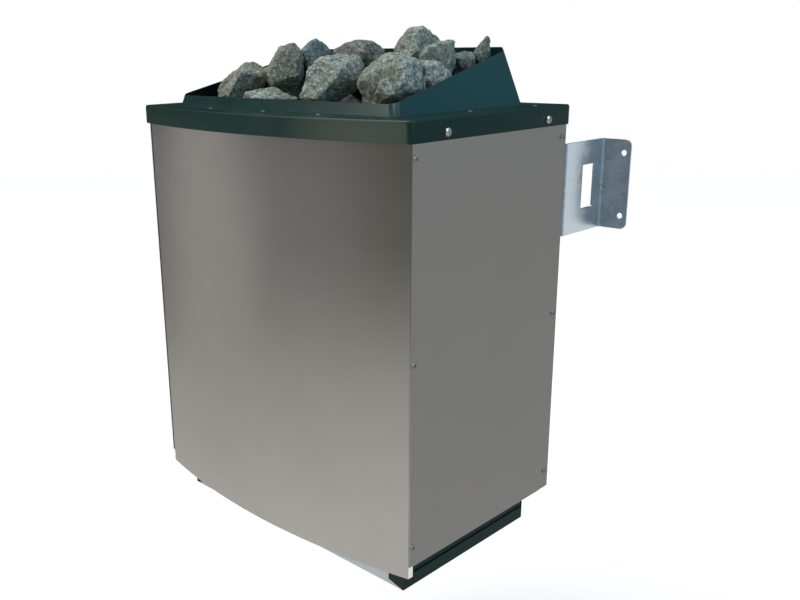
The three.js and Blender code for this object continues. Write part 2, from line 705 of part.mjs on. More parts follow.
function wallFlange() {
  const low = bracketMiddle - BRACKET_HEIGHT / 2;
  const inner = wingOuter - BRACKET_SHEET;
  const end = wingOuter + WALL_FLANGE;
  const round = WALL_FLANGE_CORNER;
  const shape = new THREE.Shape();
  shape.moveTo(inner, low);
  shape.lineTo(end - round, low);
  shape.absarc(end - round, low + round, round, -Math.PI / 2, 0, false);
  shape.absarc(end - round, bracketTop - round, round, 0, Math.PI / 2, false);
  shape.lineTo(inner, bracketTop);
  shape.closePath();
  for (const sign of [-1, 1]) {
    const hole = new THREE.Path();
    const z = bracketMiddle + (sign * WALL_HOLE_SPACING) / 2;
    hole.absarc(end - WALL_HOLE_FROM_EDGE, z, WALL_HOLE_RADIUS, 0, 2 * Math.PI, true);
    shape.holes.push(hole);
  }
  return drawOutY(shape, wallPlane - BRACKET_SHEET, wallPlane);
}

// Repeatable random numbers for the stones' broken faces
function randomFrom(seed) {
  let state = seed >>> 0;
  return () => {
    state = (state + 0x6d2b79f5) >>> 0;
    let t = Math.imul(state ^ (state >>> 15), state | 1);
    t ^= t + Math.imul(t ^ (t >>> 7), t | 61);
    return ((t ^ (t >>> 14)) >>> 0) / 4294967296;
  };
}

// A split stone: rays from its middle, each drawn back behind the given planes, with flat faces wrapped
// round their ends. A plane is { normal, reach }, with normal . p <= reach inside.
function splitStone(centre, rays, planes) {
  const points = rays.map((ray) => {
    let share = 1;
    for (const { normal, reach } of planes) {
      const along = normal.dot(ray);
      if (along > 0) share = Math.min(share, (reach - normal.dot(centre)) / along);
    }
    return centre.clone().addScaledVector(ray, share);
  });
  return new ConvexGeometry(points);
}

// Rays spread evenly over an ellipsoid and roughened
function lumpRays(radii, seed, count) {
  const random = randomFrom(seed);
  const rays = [];
  for (let i = 0; i < count; i += 1) {
    const height = 1 - (2 * (i + 0.5)) / count;
    const around = i * Math.PI * (3 - Math.sqrt(5)) + random();
    const level = Math.sqrt(1 - height * height);
    const ray = new THREE.Vector3(
      Math.cos(around) * level * radii[0], Math.sin(around) * level * radii[1], height * radii[2]);
    rays.push(ray.multiplyScalar(ROUGH_LEAST + ROUGH_RANGE * random()));
  }
  return rays;
}

// Rays to an outline in the upright plane that faces the front right corner, and to smaller broken faces
// before and behind it
function outlinedRays(points, thick, seed) {
  const random = randomFrom(seed);
  const across = new THREE.Vector3(Math.cos(SEEN_FACING), Math.sin(SEEN_FACING), 0);
  const towards = new THREE.Vector3(Math.sin(SEEN_FACING), -Math.cos(SEEN_FACING), 0);
  const rayTo = ([u, v], share, out) => new THREE.Vector3(0, 0, v * share)
    .addScaledVector(across, u * share).addScaledVector(towards, out);
  const rays = points.map((point) => rayTo(point, 1, 0));
  for (const end of [-1, 1]) {
    for (let i = 0; i < points.length; i += 2) {
      const out = end * thick * (ROUGH_LEAST + ROUGH_RANGE * random());
      rays.push(rayTo(points[i], FACE_LEAST + FACE_RANGE * random(), out));
    }
  }
  return rays;
}

// Rays to a flat seat under a stone, or over it, at the given height from its centre
function seatRays(radii, height) {
  const places = [[0, 0], [-1, -1], [1, -1], [1, 1], [-1, 1]];
  return places.map(([u, v]) => new THREE.Vector3(
    u * STONE_SEAT * radii[0], v * STONE_SEAT * radii[1], height));
}

function plane(x, y, z, reach) {
  return { normal: new THREE.Vector3(x, y, z), reach };
}

// Walls of the stone chamber below the frame
function chamberWalls() {
  const half = coreHalf - CORE_SHEET - STONE_GAP;
  return [
    plane(1, 0, 0, half), plane(-1, 0, 0, half),
    plane(0, 1, 0, coreRear - CORE_SHEET - STONE_GAP), plane(0, -1, 0, -coreFront - CORE_SHEET - STONE_GAP),
  ];
}

// Inner faces of the hopper, leaning inwards above the frame
function hopperWalls() {
  const steep = Math.hypot(1, HOPPER_LEAN);
  const inset = HOPPER_SHEET + HOPPER_CORNER / 2 + STONE_GAP * steep;
  const rise = HOPPER_LEAN * frameTop;
  return [
    plane(1, 0, HOPPER_LEAN, hopperHalf - inset + rise),
    plane(-1, 0, HOPPER_LEAN, hopperHalf - inset + rise),
    plane(0, -1, HOPPER_LEAN, -hopperFront - inset + rise),
    plane(0, 1, HOPPER_LEAN, hopperRear - inset + rise),
  ];
}

// Stones that show over the hopper's rim: place across in percent of the hopper's half width, place back
// from its front in percent of its depth, height over the frame's top face, half the thickness, and the
// outline that faces the front right corner, to the right and up from the middle.
const SEEN_STONES = [
  [-69.6, 26.5, 24, 26, [
    [-28, -16], [-28, -4], [-24, 1], [-5, 13], [5, 22], [15, 25], [23, 22], [28, 12], [28, -4], [19, -21],
    [-19, -25]]],
  [-23.4, 13.5, 10, 20, [
    [-33, 3], [-30, 7], [-12, 9], [3, 10], [10, 6], [25, 2], [33, -2], [23, -10], [-19, -10], [-32, -4]]],
  [-31.2, 31, 40, 27, [
    [-23, -2], [-22, 5], [-13, 15], [-5, 21], [3, 25], [14, 28], [20, 26], [23, 10], [20, -15], [14, -21],
    [1, -28], [-13, -25], [-18, -15]]],
  [-24.4, 49, 53, 24, [
    [-17, 7], [-7, 16], [2, 18], [9, 13], [15, 8], [17, 2], [16, -16], [8, -38], [-10, -38], [-16, -14]]],
  [25, 23, 31, 27, [
    [-35, -19], [-32, -6], [-28, 6], [-25, 15], [-11, 22], [-2, 25], [19, 25], [32, 22], [35, 12], [31, -2],
    [22, -16], [-4, -24], [-23, -25]]],
  [69.6, 30, 30, 30, [
    [-39, -9], [-36, -2], [-32, 9], [-25, 17], [-11, 28], [0, 27], [13, 22], [27, 17], [38, 9], [39, -2],
    [28, -19], [4, -28], [-27, -27], [-37, -19]]],
  [80.1, 48, 36, 20, [
    [-23, 6], [-14, 12], [0, 12], [13, 9], [23, 4], [22, -3], [12, -28], [-12, -28]]],
  [2.9, 62.9, 56, 25, [
    [-27, 3], [-18, 10], [-10, 13], [1, 13], [9, 13], [16, 10], [22, 6], [27, 1], [24, -14], [8, -34],
    [-12, -34], [-24, -14]]],
  [54.5, 60.9, 62, 26, [
    [-25, -5], [-21, 3], [-14, 11], [-10, 16], [-4, 20], [2, 19], [14, 13], [22, 8], [25, 1], [22, -18],
    [8, -40], [-10, -40], [-22, -20]]],
  [74.9, 55.9, 51, 20, [
    [-19, 1], [-11, 9], [-3, 12], [4, 15], [13, 16], [16, 15], [18, 4], [19, -7], [14, -28], [-8, -30],
    [-17, -12]]],
  [81.5, 82.9, 53, 16, [
    [7, 18], [11, 15], [12, 2], [11, -14], [4, -32], [-10, -32], [-12, -16], [-8, -9], [-2, 7]]],
  [78.9, 75.9, 47, 16, [
    [-12, 5], [-2, 9], [9, 11], [12, 1], [10, -24], [-8, -28], [-12, -11]]],
];

// Stones under and behind them: the same three places and the three half sizes
const SUNK_STONES = [
  [-52, 51.9, 26, 38, 32, 28],
  [-67.7, 77.9, 32, 40, 32, 32],
  [-23, 81.9, 38, 38, 30, 30],
  [24.2, 83.9, 40, 38, 28, 30],
  [-76.2, 20, -26, 48, 46, 30],
  [-25.4, 23, -26, 48, 50, 30],
  [25.4, 21, -26, 48, 48, 32],
  [76.2, 24, -26, 48, 52, 30],
  [-76.2, 71.9, -24, 48, 56, 34],
  [-25.4, 69.9, -24, 48, 56, 34],
  [25.4, 70.9, -24, 48, 56, 34],
  [76.2, 69.9, -24, 48, 56, 34],
];

// Plane midway between two stones, weighted by their sizes, seen from the first. Stones that lie near
// each other touch at this plane.
function between(first, second) {
  const normal = second.centre.clone().sub(first.centre);
  const apart = normal.length();
  normal.divideScalar(apart);
  const reachOf = (stone, sign) => Math.max(...stone.rays.map((ray) => sign * ray.dot(normal)));
  const mine = reachOf(first, 1);
  const both = mine + reachOf(second, -1);
  const reach = normal.dot(first.centre) + (apart * mine) / both - STONE_GAP / 2;
  return { normal, reach, apart, near: apart < both + STONE_TOUCH };
}

function stonePlace(x, back, up) {
  const y = hopperFront + (back / 100) * (hopperRear - hopperFront);
  return new THREE.Vector3((x / 100) * hopperHalf, y, frameTop + up);
}

function upperStones() {
  const seen = SEEN_STONES.map(([x, back, up, thick, points], i) => ({
    centre: stonePlace(x, back, up), rays: outlinedRays(points, thick, 211 + 17 * i),
  }));
  const sunk = SUNK_STONES.map(([x, back, up, ...radii], i) => {
    const centre = stonePlace(x, back, up);
    const rays = lumpRays(radii, 101 + 17 * i, STONE_POINT_COUNT);
    const drop = centre.z - stoneFloor;
    if (drop < radii[2]) rays.push(...seatRays(radii, -drop));
    return { centre, rays };
  });
  const stones = [...seen, ...sunk];
  const walls = [...chamberWalls(), ...hopperWalls(), plane(0, 0, -1, -stoneFloor)];
  return stones.map((stone) => {
    const others = stones.filter((other) => other !== stone);
    const sides = others.map((other) => between(stone, other));
    const touches = sides.filter(({ near }) => near).map(({ normal, apart }) => (
      normal.clone().multiplyScalar(apart)));
    return splitStone(stone.centre, [...stone.rays, ...touches], [...walls, ...sides]);
  });
}

// One column of the lower stones, packed between two element planes from the grate up to the upper layers
function stoneBed(x0, x1, seed) {
  const foot = grateTop + GAP;
  const top = stoneFloor - GAP;
  const y0 = coreFront + CORE_SHEET + STONE_GAP;
  const y1 = coreRear - CORE_SHEET - STONE_GAP;
  const deep = (y1 - y0) / BED_COLUMNS;
  const tall = (top - foot) / BED_ROWS;
  const walls = [
    ...chamberWalls(), plane(1, 0, 0, x1), plane(-1, 0, 0, -x0), plane(0, 0, 1, top), plane(0, 0, -1, -foot),
  ];
  const radii = [x1 - x0, deep, tall].map((size) => size * BED_FILL);
  const random = randomFrom(seed);
  const shift = () => 0.5 + BED_SHIFT * (random() - 0.5);
  const stones = [];
  for (let row = 0; row < BED_ROWS; row += 1) {
    for (let column = 0; column < BED_COLUMNS; column += 1) {
      const centre = new THREE.Vector3(
        (x0 + x1) / 2, y0 + deep * (column + shift()), foot + tall * (row + shift()));
      const rays = lumpRays(radii, seed + 31 * row + 7 * column, BED_POINT_COUNT);
      if (row === BED_ROWS - 1) rays.push(...seatRays(radii, top - centre.z));
      stones.push(splitStone(centre, rays, walls));
    }
  }
  return join(...stones);
}

// Put together from the wall forwards and from the base up
place('wall_bracket', wallBracket(), 'galvanised');
place('hook_left', hook(-1), 'galvanised');
place('hook_right', hook(1), 'galvanised');
place('rear_panel', rearPanel(), 'galvanised');
place('left_side_panel', sidePanel(-1), 'stainless');
place('right_side_panel', sidePanel(1), 'stainless');
place('front_panel', frontPanel(), 'stainless');
place('base_tray', baseTray(), 'green');
place('terminal_box', terminalBox(), 'galvanised');
place('terminal_cover', terminalCover(), 'galvanised');
place('terminal_block', terminalBlock(), 'ceramic');
place('cable_gland', cableGland(), 'plastic');
place('gland_locknut', glandLocknut(), 'plastic');
place('core_side_left', coreSide(-1), 'green');
place('core_side_right', coreSide(1), 'green');
place('core_front_plate', frontCorePlate(), 'galvanised');
place('core_rear_plate', rearCorePlate(), 'galvanised');
place('stone_grate', stoneGrate(), 'element');
elementPlaces().forEach((x, i) => {
  place(`heating_element_${['left', 'centre', 'right'][i]}`, heatingElement(x), 'element');
});
const bedLimits = [-coreHalf, ...elementPlaces(), coreHalf];
const elementRoom = ELEMENT_RADIUS + ELEMENT_CLEARANCE;
for (let i = 0; i < bedLimits.length - 1; i += 1) {
  const x0 = bedLimits[i] + (i === 0 ? CORE_SHEET + STONE_GAP : elementRoom);
  const x1 = bedLimits[i + 1] - (i === bedLimits.length - 2 ? CORE_SHEET + STONE_GAP : elementRoom);
  place(`stone_bed_${i + 1}`, stoneBed(x0, x1, 900 + 53 * i), 'stone');
}
place('stone_hopper', stoneHopper(), 'green');
place('top_frame', topFrame(), 'green');
frameScrewPlaces().forEach((y, i) => {
  const end = ['front', 'rear'][i];
  place(`frame_screw_left_${end}`, frameScrew(-1, y), 'zinc');
  place(`frame_screw_right_${end}`, frameScrew(1, y), 'zinc');
});
upperStones().forEach((geometry, i) => {
  place(`stone_${String(i + 1).padStart(2, '0')}`, geometry, 'stone');
});

// The origin lies on the wall, in the middle of the bracket's screw holes
const saunaHeater = new THREE.Group();
heater.position.set(0, -wallPlane, -bracketMiddle);
saunaHeater.add(heater);

export default saunaHeater;
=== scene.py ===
import math

import bmesh
import bpy
from mathutils import Matrix, Vector, noise


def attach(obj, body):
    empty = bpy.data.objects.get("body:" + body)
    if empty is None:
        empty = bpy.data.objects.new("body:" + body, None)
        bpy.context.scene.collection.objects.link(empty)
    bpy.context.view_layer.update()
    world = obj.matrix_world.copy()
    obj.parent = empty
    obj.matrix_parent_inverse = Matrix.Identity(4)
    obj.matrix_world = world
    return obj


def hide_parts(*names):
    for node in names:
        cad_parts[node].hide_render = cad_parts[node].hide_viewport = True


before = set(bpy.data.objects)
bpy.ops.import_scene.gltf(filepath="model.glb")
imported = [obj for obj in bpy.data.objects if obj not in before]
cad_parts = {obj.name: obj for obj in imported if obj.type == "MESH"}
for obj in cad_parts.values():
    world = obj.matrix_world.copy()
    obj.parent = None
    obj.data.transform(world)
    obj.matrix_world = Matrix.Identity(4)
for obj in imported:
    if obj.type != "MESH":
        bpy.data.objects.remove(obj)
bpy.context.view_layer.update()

# The view: the heater is seen from its front right corner and a little from above, through a normal lens
# that is shifted a little to the side. The picture's frame is 800 by 600.
VIEW_FROM = Vector((0.721208, -0.936946, 0.155005))
VIEW_TURN = 0.8001
VIEW_DOWN = 0.2879
VIEW_ROLL = -0.018
view = bpy.data.cameras.new("view")
view.sensor_width = 36
view.lens = 40.787
view.shift_x = 0.08672
view.shift_y = 0.01634
viewer = bpy.data.objects.new("view", view)
viewer.matrix_world = (
    Matrix.Translation(VIEW_FROM)
    @ Matrix.Rotation(VIEW_TURN, 4, "Z")
    @ Matrix.Rotation(math.pi / 2 - VIEW_DOWN, 4, "X")
    @ Matrix.Rotation(VIEW_ROLL, 4, "Z"))
bpy.context.scene.collection.objects.link(viewer)
bpy.context.scene.camera = viewer
bpy.context.scene.view_settings.view_transform = "Standard"


# The room: a pale floor, large soft lights overhead and in front, a cool window light from the right, and
# walls that are lighter towards the floor, cooler behind the heater and darker in three corners.
def add_node(tree, kind, inputs=None, **settings):
    made = tree.nodes.new("ShaderNode" + kind)
    for name, value in settings.items():
        setattr(made, name, value)
    for name, value in (inputs or {}).items():
        if isinstance(value, bpy.types.NodeSocket):
            tree.links.new(value, made.inputs[name])
        else:
            made.inputs[name].default_value = value
    return made


def ramp(tree, share, *stops):
    """Blends from colour to colour, each given with its place along the share."""
    made = add_node(tree, "ValToRGB", {"Fac": share})
    band = made.color_ramp
    while len(band.elements) < len(stops):
        band.elements.new(1)
    for element, (along, colour) in zip(band.elements, stops):
        element.position = along
        element.color = (*colour, 1)
    return made.outputs["Color"]


def mixed(tree, share, first, second, how="MIX"):
    made = add_node(tree, "Mix", {0: share, 6: first, 7: second}, data_type="RGBA", blend_type=how)
    return made.outputs[2]


def levels(tree, share, low, high, start=0.0, end=1.0):
    """Stretches what lies between start and end so that it runs from low to high."""
    return add_node(tree, "MapRange", {"Value": share, "From Min": start, "From Max": end,
                                       "To Min": low, "To Max": high}).outputs["Result"]


def worked_out(tree, how, first, second):
    return add_node(tree, "Math", {0: first, 1: second}, operation=how).outputs["Value"]


def towards(tree, direction, aim, least, most):
    along = add_node(tree, "VectorMath", {0: direction, 1: aim}, operation="DOT_PRODUCT").outputs["Value"]
    made = add_node(tree, "MapRange", {"Value": along, "From Min": least, "From Max": most},
                    interpolation_type="SMOOTHSTEP")
    return made.outputs["Result"]


def grey(level, warm=0.0):
    return (level * (1 + warm), level, level * (1 - warm))


TO_REAR = (0.58, 0.81, 0.0)
TO_DOORWAY = (-0.868, -0.447, -0.21)
TO_FRONT_CORNER = (0.03, -0.99, -0.10)
TO_RIGHT_CORNER = (0.62, -0.77, -0.10)
TO_LEFT_CORNER = (-0.64, 0.76, 0.06)
room = bpy.data.worlds.new("room")
bpy.context.scene.world = room
room.use_nodes = True
walls = room.node_tree
walls.nodes.clear()
look = add_node(walls, "TexCoord").outputs["Generated"]
upwards = add_node(walls, "SeparateXYZ", {"Vector": look}).outputs["Z"]
height = levels(walls, upwards, 0.0, 1.0, -0.6, 1.0)
front_wall = ramp(
    walls, height,
    (0.0, grey(0.86, 0.03)), (0.08, grey(0.72, 0.04)), (0.13, grey(0.57, 0.045)),
    (0.165, grey(0.52, 0.045)), (0.195, grey(0.33, 0.05)), (0.235, grey(0.265, 0.045)),
    (0.315, grey(0.28, 0.04)), (0.350, grey(0.10, 0.04)), (0.52, grey(0.10, 0.04)),
    (0.75, grey(0.60)), (1.0, grey(0.90)))
rear_wall = ramp(
    walls, height,
    (0.0, grey(0.40)), (0.25, grey(0.335)), (0.355, grey(0.34, -0.01)), (0.395, (0.26, 0.35, 0.42)),
    (0.45, (0.20, 0.38, 0.52)), (0.62, (0.26, 0.46, 0.62)), (0.80, grey(0.62, -0.06)), (1.0, grey(0.90)))
behind = towards(walls, look, TO_REAR, -0.35, 0.35)
both_walls = mixed(walls, behind, front_wall, rear_wall)
doorway = towards(walls, look, TO_DOORWAY, 0.950, 0.995)
lit_walls = mixed(walls, doorway, both_walls, (0.50, 0.48, 0.46, 1), "LIGHTEN")
front_corner = towards(walls, look, TO_FRONT_CORNER, 0.80, 1.0)
above_floor = levels(walls, height, 0.0, 1.0, 0.175, 0.225)
dark_corner = worked_out(walls, "MULTIPLY", front_corner, above_floor)
shaded = mixed(walls, dark_corner, lit_walls, (0.115, 0.108, 0.090, 1), "DARKEN")
right_corner = towards(walls, look, TO_RIGHT_CORNER, 0.86, 0.97)
cooled = mixed(walls, right_corner, shaded, (0.14, 0.20, 0.25, 1), "DARKEN")
left_corner = towards(walls, look, TO_LEFT_CORNER, 0.50, 0.85)
above_panels = levels(walls, height, 0.0, 1.0, 0.38, 0.45)
dark_ceiling = worked_out(walls, "MULTIPLY", left_corner, above_panels)
dimmed = mixed(walls, dark_ceiling, cooled, (0.015, 0.024, 0.024, 1), "DARKEN")
around = add_node(walls, "Background", {"Color": dimmed, "Strength": 0.76})
white = add_node(walls, "Background", {"Color": (1, 1, 1, 1), "Strength": 1.0})
seen = add_node(walls, "LightPath").outputs["Is Camera Ray"]
backdrop = add_node(walls, "MixShader", {0: seen, 1: around.outputs[0], 2: white.outputs[0]})
walls.links.new(backdrop.outputs[0], add_node(walls, "OutputWorld").inputs["Surface"])


def soft_light(name, spot, aim, size, watts, colour):
    lamp = bpy.data.lights.new(name, "AREA")
    lamp.shape = "DISK"
    lamp.size = size
    lamp.energy = watts
    lamp.color = colour
    turn = (Vector(aim) - Vector(spot)).to_track_quat("-Z", "Y").to_matrix().to_4x4()
    hung = bpy.data.objects.new(name, lamp)
    hung.matrix_world = Matrix.Translation(spot) @ turn
    bpy.context.scene.collection.objects.link(hung)
    hung.visible_camera = False
    return hung


soft_light("front_light", spot=(-0.70, -1.85, 1.15), aim=(0, -0.3, 0.05),
           size=1.1, watts=9, colour=(1.0, 0.97, 0.90))
soft_light("window_light", spot=(2.2, -0.1, 0.9), aim=(0, -0.2, 0),
           size=1.2, watts=12, colour=(0.64, 0.84, 1.0))

ROOF_LEAN_LEFT = math.radians(-16)
ROOF_LEAN_FRONT = math.radians(14)
sky = bpy.data.lights.new("roof_light", "SUN")
sky.energy = 2.3
sky.angle = math.radians(50)
sky.color = (1.0, 0.99, 0.97)
overhead = bpy.data.objects.new("roof_light", sky)
overhead.matrix_world = Matrix.Rotation(ROOF_LEAN_LEFT, 4, "Y") @ Matrix.Rotation(ROOF_LEAN_FRONT, 4, "X")
bpy.context.scene.collection.objects.link(overhead)

FLOOR_HEIGHT = -0.75
FLOOR_RADIUS = 6
floor_work = bmesh.new()
bmesh.ops.create_circle(floor_work, cap_ends=True, radius=FLOOR_RADIUS, segments=96,
                        matrix=Matrix.Translation((0, -0.2, FLOOR_HEIGHT)))
floor_mesh = bpy.data.meshes.new("floor")
floor_work.to_mesh(floor_mesh)
floor_work.free()
floor_paint = bpy.data.materials.new("floor_paint")
floor_paint.use_nodes = True
floor_tree = floor_paint.node_tree
floor_shader = floor_tree.nodes["Principled BSDF"]
floor_shader.inputs["Base Color"].default_value = (0.93, 0.93, 0.93, 1)
floor_shader.inputs["Roughness"].default_value = 0.9
from_below = add_node(floor_tree, "NewGeometry").outputs["Backfacing"]
clear = add_node(floor_tree, "BsdfTransparent").outputs[0]
one_sided = add_node(floor_tree, "MixShader", {0: from_below, 1: floor_shader.outputs[0], 2: clear})
floor_tree.links.new(one_sided.outputs[0], floor_tree.nodes["Material Output"].inputs["Surface"])
floor_mesh.materials.append(floor_paint)
floor = bpy.data.objects.new("floor", floor_mesh)
floor.visible_glossy = False
bpy.context.scene.collection.objects.link(floor)

# Wall bracket: one strip of 2 mm galvanised sheet, folded into a web, two wings and two wall flanges.
# A window is punched in each wing, and each flange has two round holes for the screws into the wall.
MM = 0.001
AXES = {"x": (Vector((0, 1, 0)), Vector((0, 0, 1))),
        "y": (Vector((1, 0, 0)), Vector((0, 0, 1))),
        "z": (Vector((1, 0, 0)), Vector((0, 1, 0)))}


def points_of(made):
    return [item for item in made["geom"] if isinstance(item, bmesh.types.BMVert)]


def rounded(work, affect, items, radius, segments):
    bmesh.ops.bevel(work, geom=items, offset=radius * MM, affect=affect, segments=segments,
                    profile=0.5, material=-1)


def bent_strip(corners, pull, bends):
    """Draws a strip through its corners, pulls it out to its width and rounds each fold."""
    work = bmesh.new()
    points = [work.verts.new(Vector(corner) * MM) for corner in corners]
    line = [work.edges.new(pair) for pair in zip(points, points[1:])]
    pulled = bmesh.ops.extrude_edge_only(work, edges=line)
    bmesh.ops.translate(work, verts=points_of(pulled), vec=Vector(pull) * MM)
    for corner, bend in zip(corners[1:-1], bends):
        round_fold(work, Vector(corner) * MM, bend)
    return work


def round_fold(work, spot, bend):
    along = [edge for edge in work.edges if len(edge.link_faces) == 2
             and any((vert.co - spot).length < 1e-6 for vert in edge.verts)]
    rounded(work, "EDGES", along, bend, 6)


def cut_out(work, facing, *holes):
    """Opens holes in a flat part of a sheet. A hole is its middle, two half sizes and a corner radius."""
    across, up = AXES[facing]
    out = across.cross(up)
    first = Vector(holes[0][0]) * MM
    flat = next(face for face in work.faces
                if abs(face.normal.dot(out)) > 0.99
                and abs((face.verts[0].co - first).dot(out)) < 1e-4
                and bmesh.geometry.intersect_face_point(face, first))
    edges = list(flat.edges)
    bmesh.ops.delete(work, geom=[flat], context="FACES_ONLY")
    for middle, half_across, half_up, corner in holes:
        spot = Vector(middle) * MM
        if corner >= half_across:
            turn = Matrix.Translation(spot) @ out.to_track_quat("Z", "Y").to_matrix().to_4x4()
            made = bmesh.ops.create_circle(work, cap_ends=False, radius=corner * MM, segments=28, matrix=turn)
            edges += dict.fromkeys(edge for vert in made["verts"] for edge in vert.link_edges)
        else:
            ends = [work.verts.new(spot + across * half_across * u * MM + up * half_up * v * MM)
                    for u, v in ((-1, -1), (1, -1), (1, 1), (-1, 1))]
            work.faces.new(ends)
            rounded(work, "VERTICES", ends, corner, 5)
            punched = [face for face in work.faces if all(len(edge.link_faces) == 1 for edge in face.edges)]
            edges += [edge for face in punched for edge in face.edges]
            bmesh.ops.delete(work, geom=punched, context="FACES_ONLY")
    bmesh.ops.triangle_fill(work, use_beauty=True, edges=edges, normal=out)


def thicken(work, sheet, spot, outwards):
    """Turns the sheet's outer face to the side that outwards points to at the spot, and thickens it."""
    bmesh.ops.remove_doubles(work, verts=work.verts, dist=1e-6)
    bmesh.ops.recalc_face_normals(work, faces=work.faces)
    near = min(work.faces, key=lambda face: (face.calc_center_median() - Vector(spot) * MM).length)
    if near.normal.dot(Vector(outwards)) < 0:
        bmesh.ops.reverse_faces(work, faces=work.faces)
    bmesh.ops.solidify(work, geom=list(work.faces), thickness=sheet * MM)


def place(name, work, finish, body, nodes, edge=0.0, crisp=32):
    """Makes the finished piece: smooth but for its crisp edges, which are broken as a sheet's edges are."""
    mesh = bpy.data.meshes.new(name)
    work.to_mesh(mesh)
    work.free()
    mesh.materials.append(finish)
    mesh.shade_smooth()
    mesh.set_sharp_from_angle(angle=math.radians(crisp))
    piece = bpy.data.objects.new(name, mesh)
    bpy.context.scene.collection.objects.link(piece)
    if edge:
        file_mark = piece.modifiers.new("broken_edge", "BEVEL")
        file_mark.width = edge * MM
        file_mark.segments = 2
        file_mark.limit_method = "ANGLE"
        file_mark.angle_limit = math.radians(40)
        file_mark.harden_normals = True
    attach(piece, body)
    if nodes:
        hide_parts(*nodes)
    return piece


def light_only(lamp, *pieces):
    """Keeps a small light to the pieces that it is set up for."""
    lit = bpy.data.collections.new(lamp.name + "_pieces")
    for piece in pieces:
        lit.objects.link(piece)
    lamp.light_linking.receiver_collection = lit


def new_finish(name, **sockets):
    finish = bpy.data.materials.new(name)
    finish.use_nodes = True
    tree = finish.node_tree
    shader = tree.nodes["Principled BSDF"]
    for socket, value in sockets.items():
        shader.inputs[socket.replace("_", " ")].default_value = value
    return finish, tree, shader, add_node(tree, "TexCoord").outputs["Object"]


def speckle(tree, where, scale, detail, rough=0.5, stretch=None):
    if stretch:
        where = add_node(tree, "Mapping", {"Vector": where, "Scale": stretch}).outputs["Vector"]
    return add_node(tree, "TexNoise", {
        "Vector": where, "Scale": scale, "Detail": detail, "Roughness": rough}).outputs["Fac"]


def relief(tree, shader, height, deep, strength):
    bump = add_node(tree, "Bump", {"Height": height, "Distance": deep * MM, "Strength": strength})
    tree.links.new(bump.outputs["Normal"], shader.inputs["Normal"])


galvanised, tree, shader, where = new_finish("galvanised_sheet", Metallic=0.97)
wander = add_node(tree, "TexNoise", {"Vector": where, "Scale": 60.0}).outputs["Color"]
spangle = add_node(tree, "TexVoronoi", {"Vector": mixed(tree, 0.03, where, wander), "Scale": 150.0})
crystal = add_node(tree, "SeparateColor", {"Color": spangle.outputs["Color"]}).outputs["Red"]
cloud = speckle(tree, where, 14.0, 4.0)
tint = ramp(tree, crystal, (0.0, (0.655, 0.75, 0.82)), (0.5, (0.73, 0.83, 0.90)), (1.0, (0.805, 0.905, 0.97)))
tree.links.new(mixed(tree, levels(tree, cloud, 0.0, 0.35, 0.35, 0.7), tint, (0.65, 0.75, 0.82, 1)),
               shader.inputs["Base Color"])
tree.links.new(levels(tree, crystal, 0.27, 0.36), shader.inputs["Roughness"])
relief(tree, shader, cloud, 0.05, 0.07)

BRACKET_SHEET = 2
WEB_FRONT = -80
WING = 202
FLANGE_FRONT = -2
FLANGE_END = 235
FLANGE_CORNER = 8
HALF_HEIGHT = 50
FLANGE_BEND = 2.6
WING_BEND = 3.2
WINDOW_MIDDLE = -32.25
WINDOW_HALF_ACROSS = 11.75
WINDOW_HALF_UP = 24
WINDOW_CORNER = 0.8
HOLE_PLACE = 226.7
HOLE_UP = 35
HOLE_RADIUS = 3.25
fold_line = ((-FLANGE_END, FLANGE_FRONT), (-WING, FLANGE_FRONT), (-WING, WEB_FRONT),
             (WING, WEB_FRONT), (WING, FLANGE_FRONT), (FLANGE_END, FLANGE_FRONT))
bracket = bent_strip([(x, y, -HALF_HEIGHT) for x, y in fold_line], (0, 0, 2 * HALF_HEIGHT),
                     (FLANGE_BEND, WING_BEND, WING_BEND, FLANGE_BEND))
flange_ends = [vert for vert in bracket.verts if abs(vert.co.x) > (FLANGE_END - 1) * MM]
rounded(bracket, "VERTICES", flange_ends, FLANGE_CORNER, 6)
for side in (-1, 1):
    window = ((side * WING, WINDOW_MIDDLE, 0), WINDOW_HALF_ACROSS, WINDOW_HALF_UP, WINDOW_CORNER)
    cut_out(bracket, "x", window)
    holes = [((side * HOLE_PLACE, FLANGE_FRONT, up), HOLE_RADIUS, HOLE_RADIUS, HOLE_RADIUS)
             for up in (-HOLE_UP, HOLE_UP)]
    cut_out(bracket, "y", *holes)
thicken(bracket, BRACKET_SHEET, (0, WEB_FRONT, 0), (0, -1, 0))
bracket_sheet = place("wall_bracket_sheet", bracket, galvanised, "bracket", ["wall_bracket"],
                      edge=0.3)
bracket_light = soft_light("bracket_light", spot=(0.97, 1.20, -0.22), aim=(0.2, -0.07, 0),
                           size=0.9, watts=1.2, colour=(1.0, 0.98, 0.94))
light_only(bracket_light, bracket_sheet)


# Hooks: two strips of 2 mm galvanised sheet on the rear panel, each with a tongue folded down behind
# the bracket's web. Two domed rivets hold each plate.
def spun(profile, steps=24):
    """Turns a profile of radius and height, in mm, round the upright axis."""
    work = bmesh.new()
    points = [work.verts.new((radius * MM, 0, up * MM)) for radius, up in profile]
    edges = [work.edges.new(pair) for pair in zip(points, points[1:])]
    bmesh.ops.spin(work, geom=points + edges, cent=(0, 0, 0), axis=(0, 0, 1), dvec=(0, 0, 0),
                   angle=2 * math.pi, steps=steps, use_merge=True, use_duplicate=False)
    bmesh.ops.remove_doubles(work, verts=work.verts, dist=1e-7)
    bmesh.ops.recalc_face_normals(work, faces=work.faces)
    return work


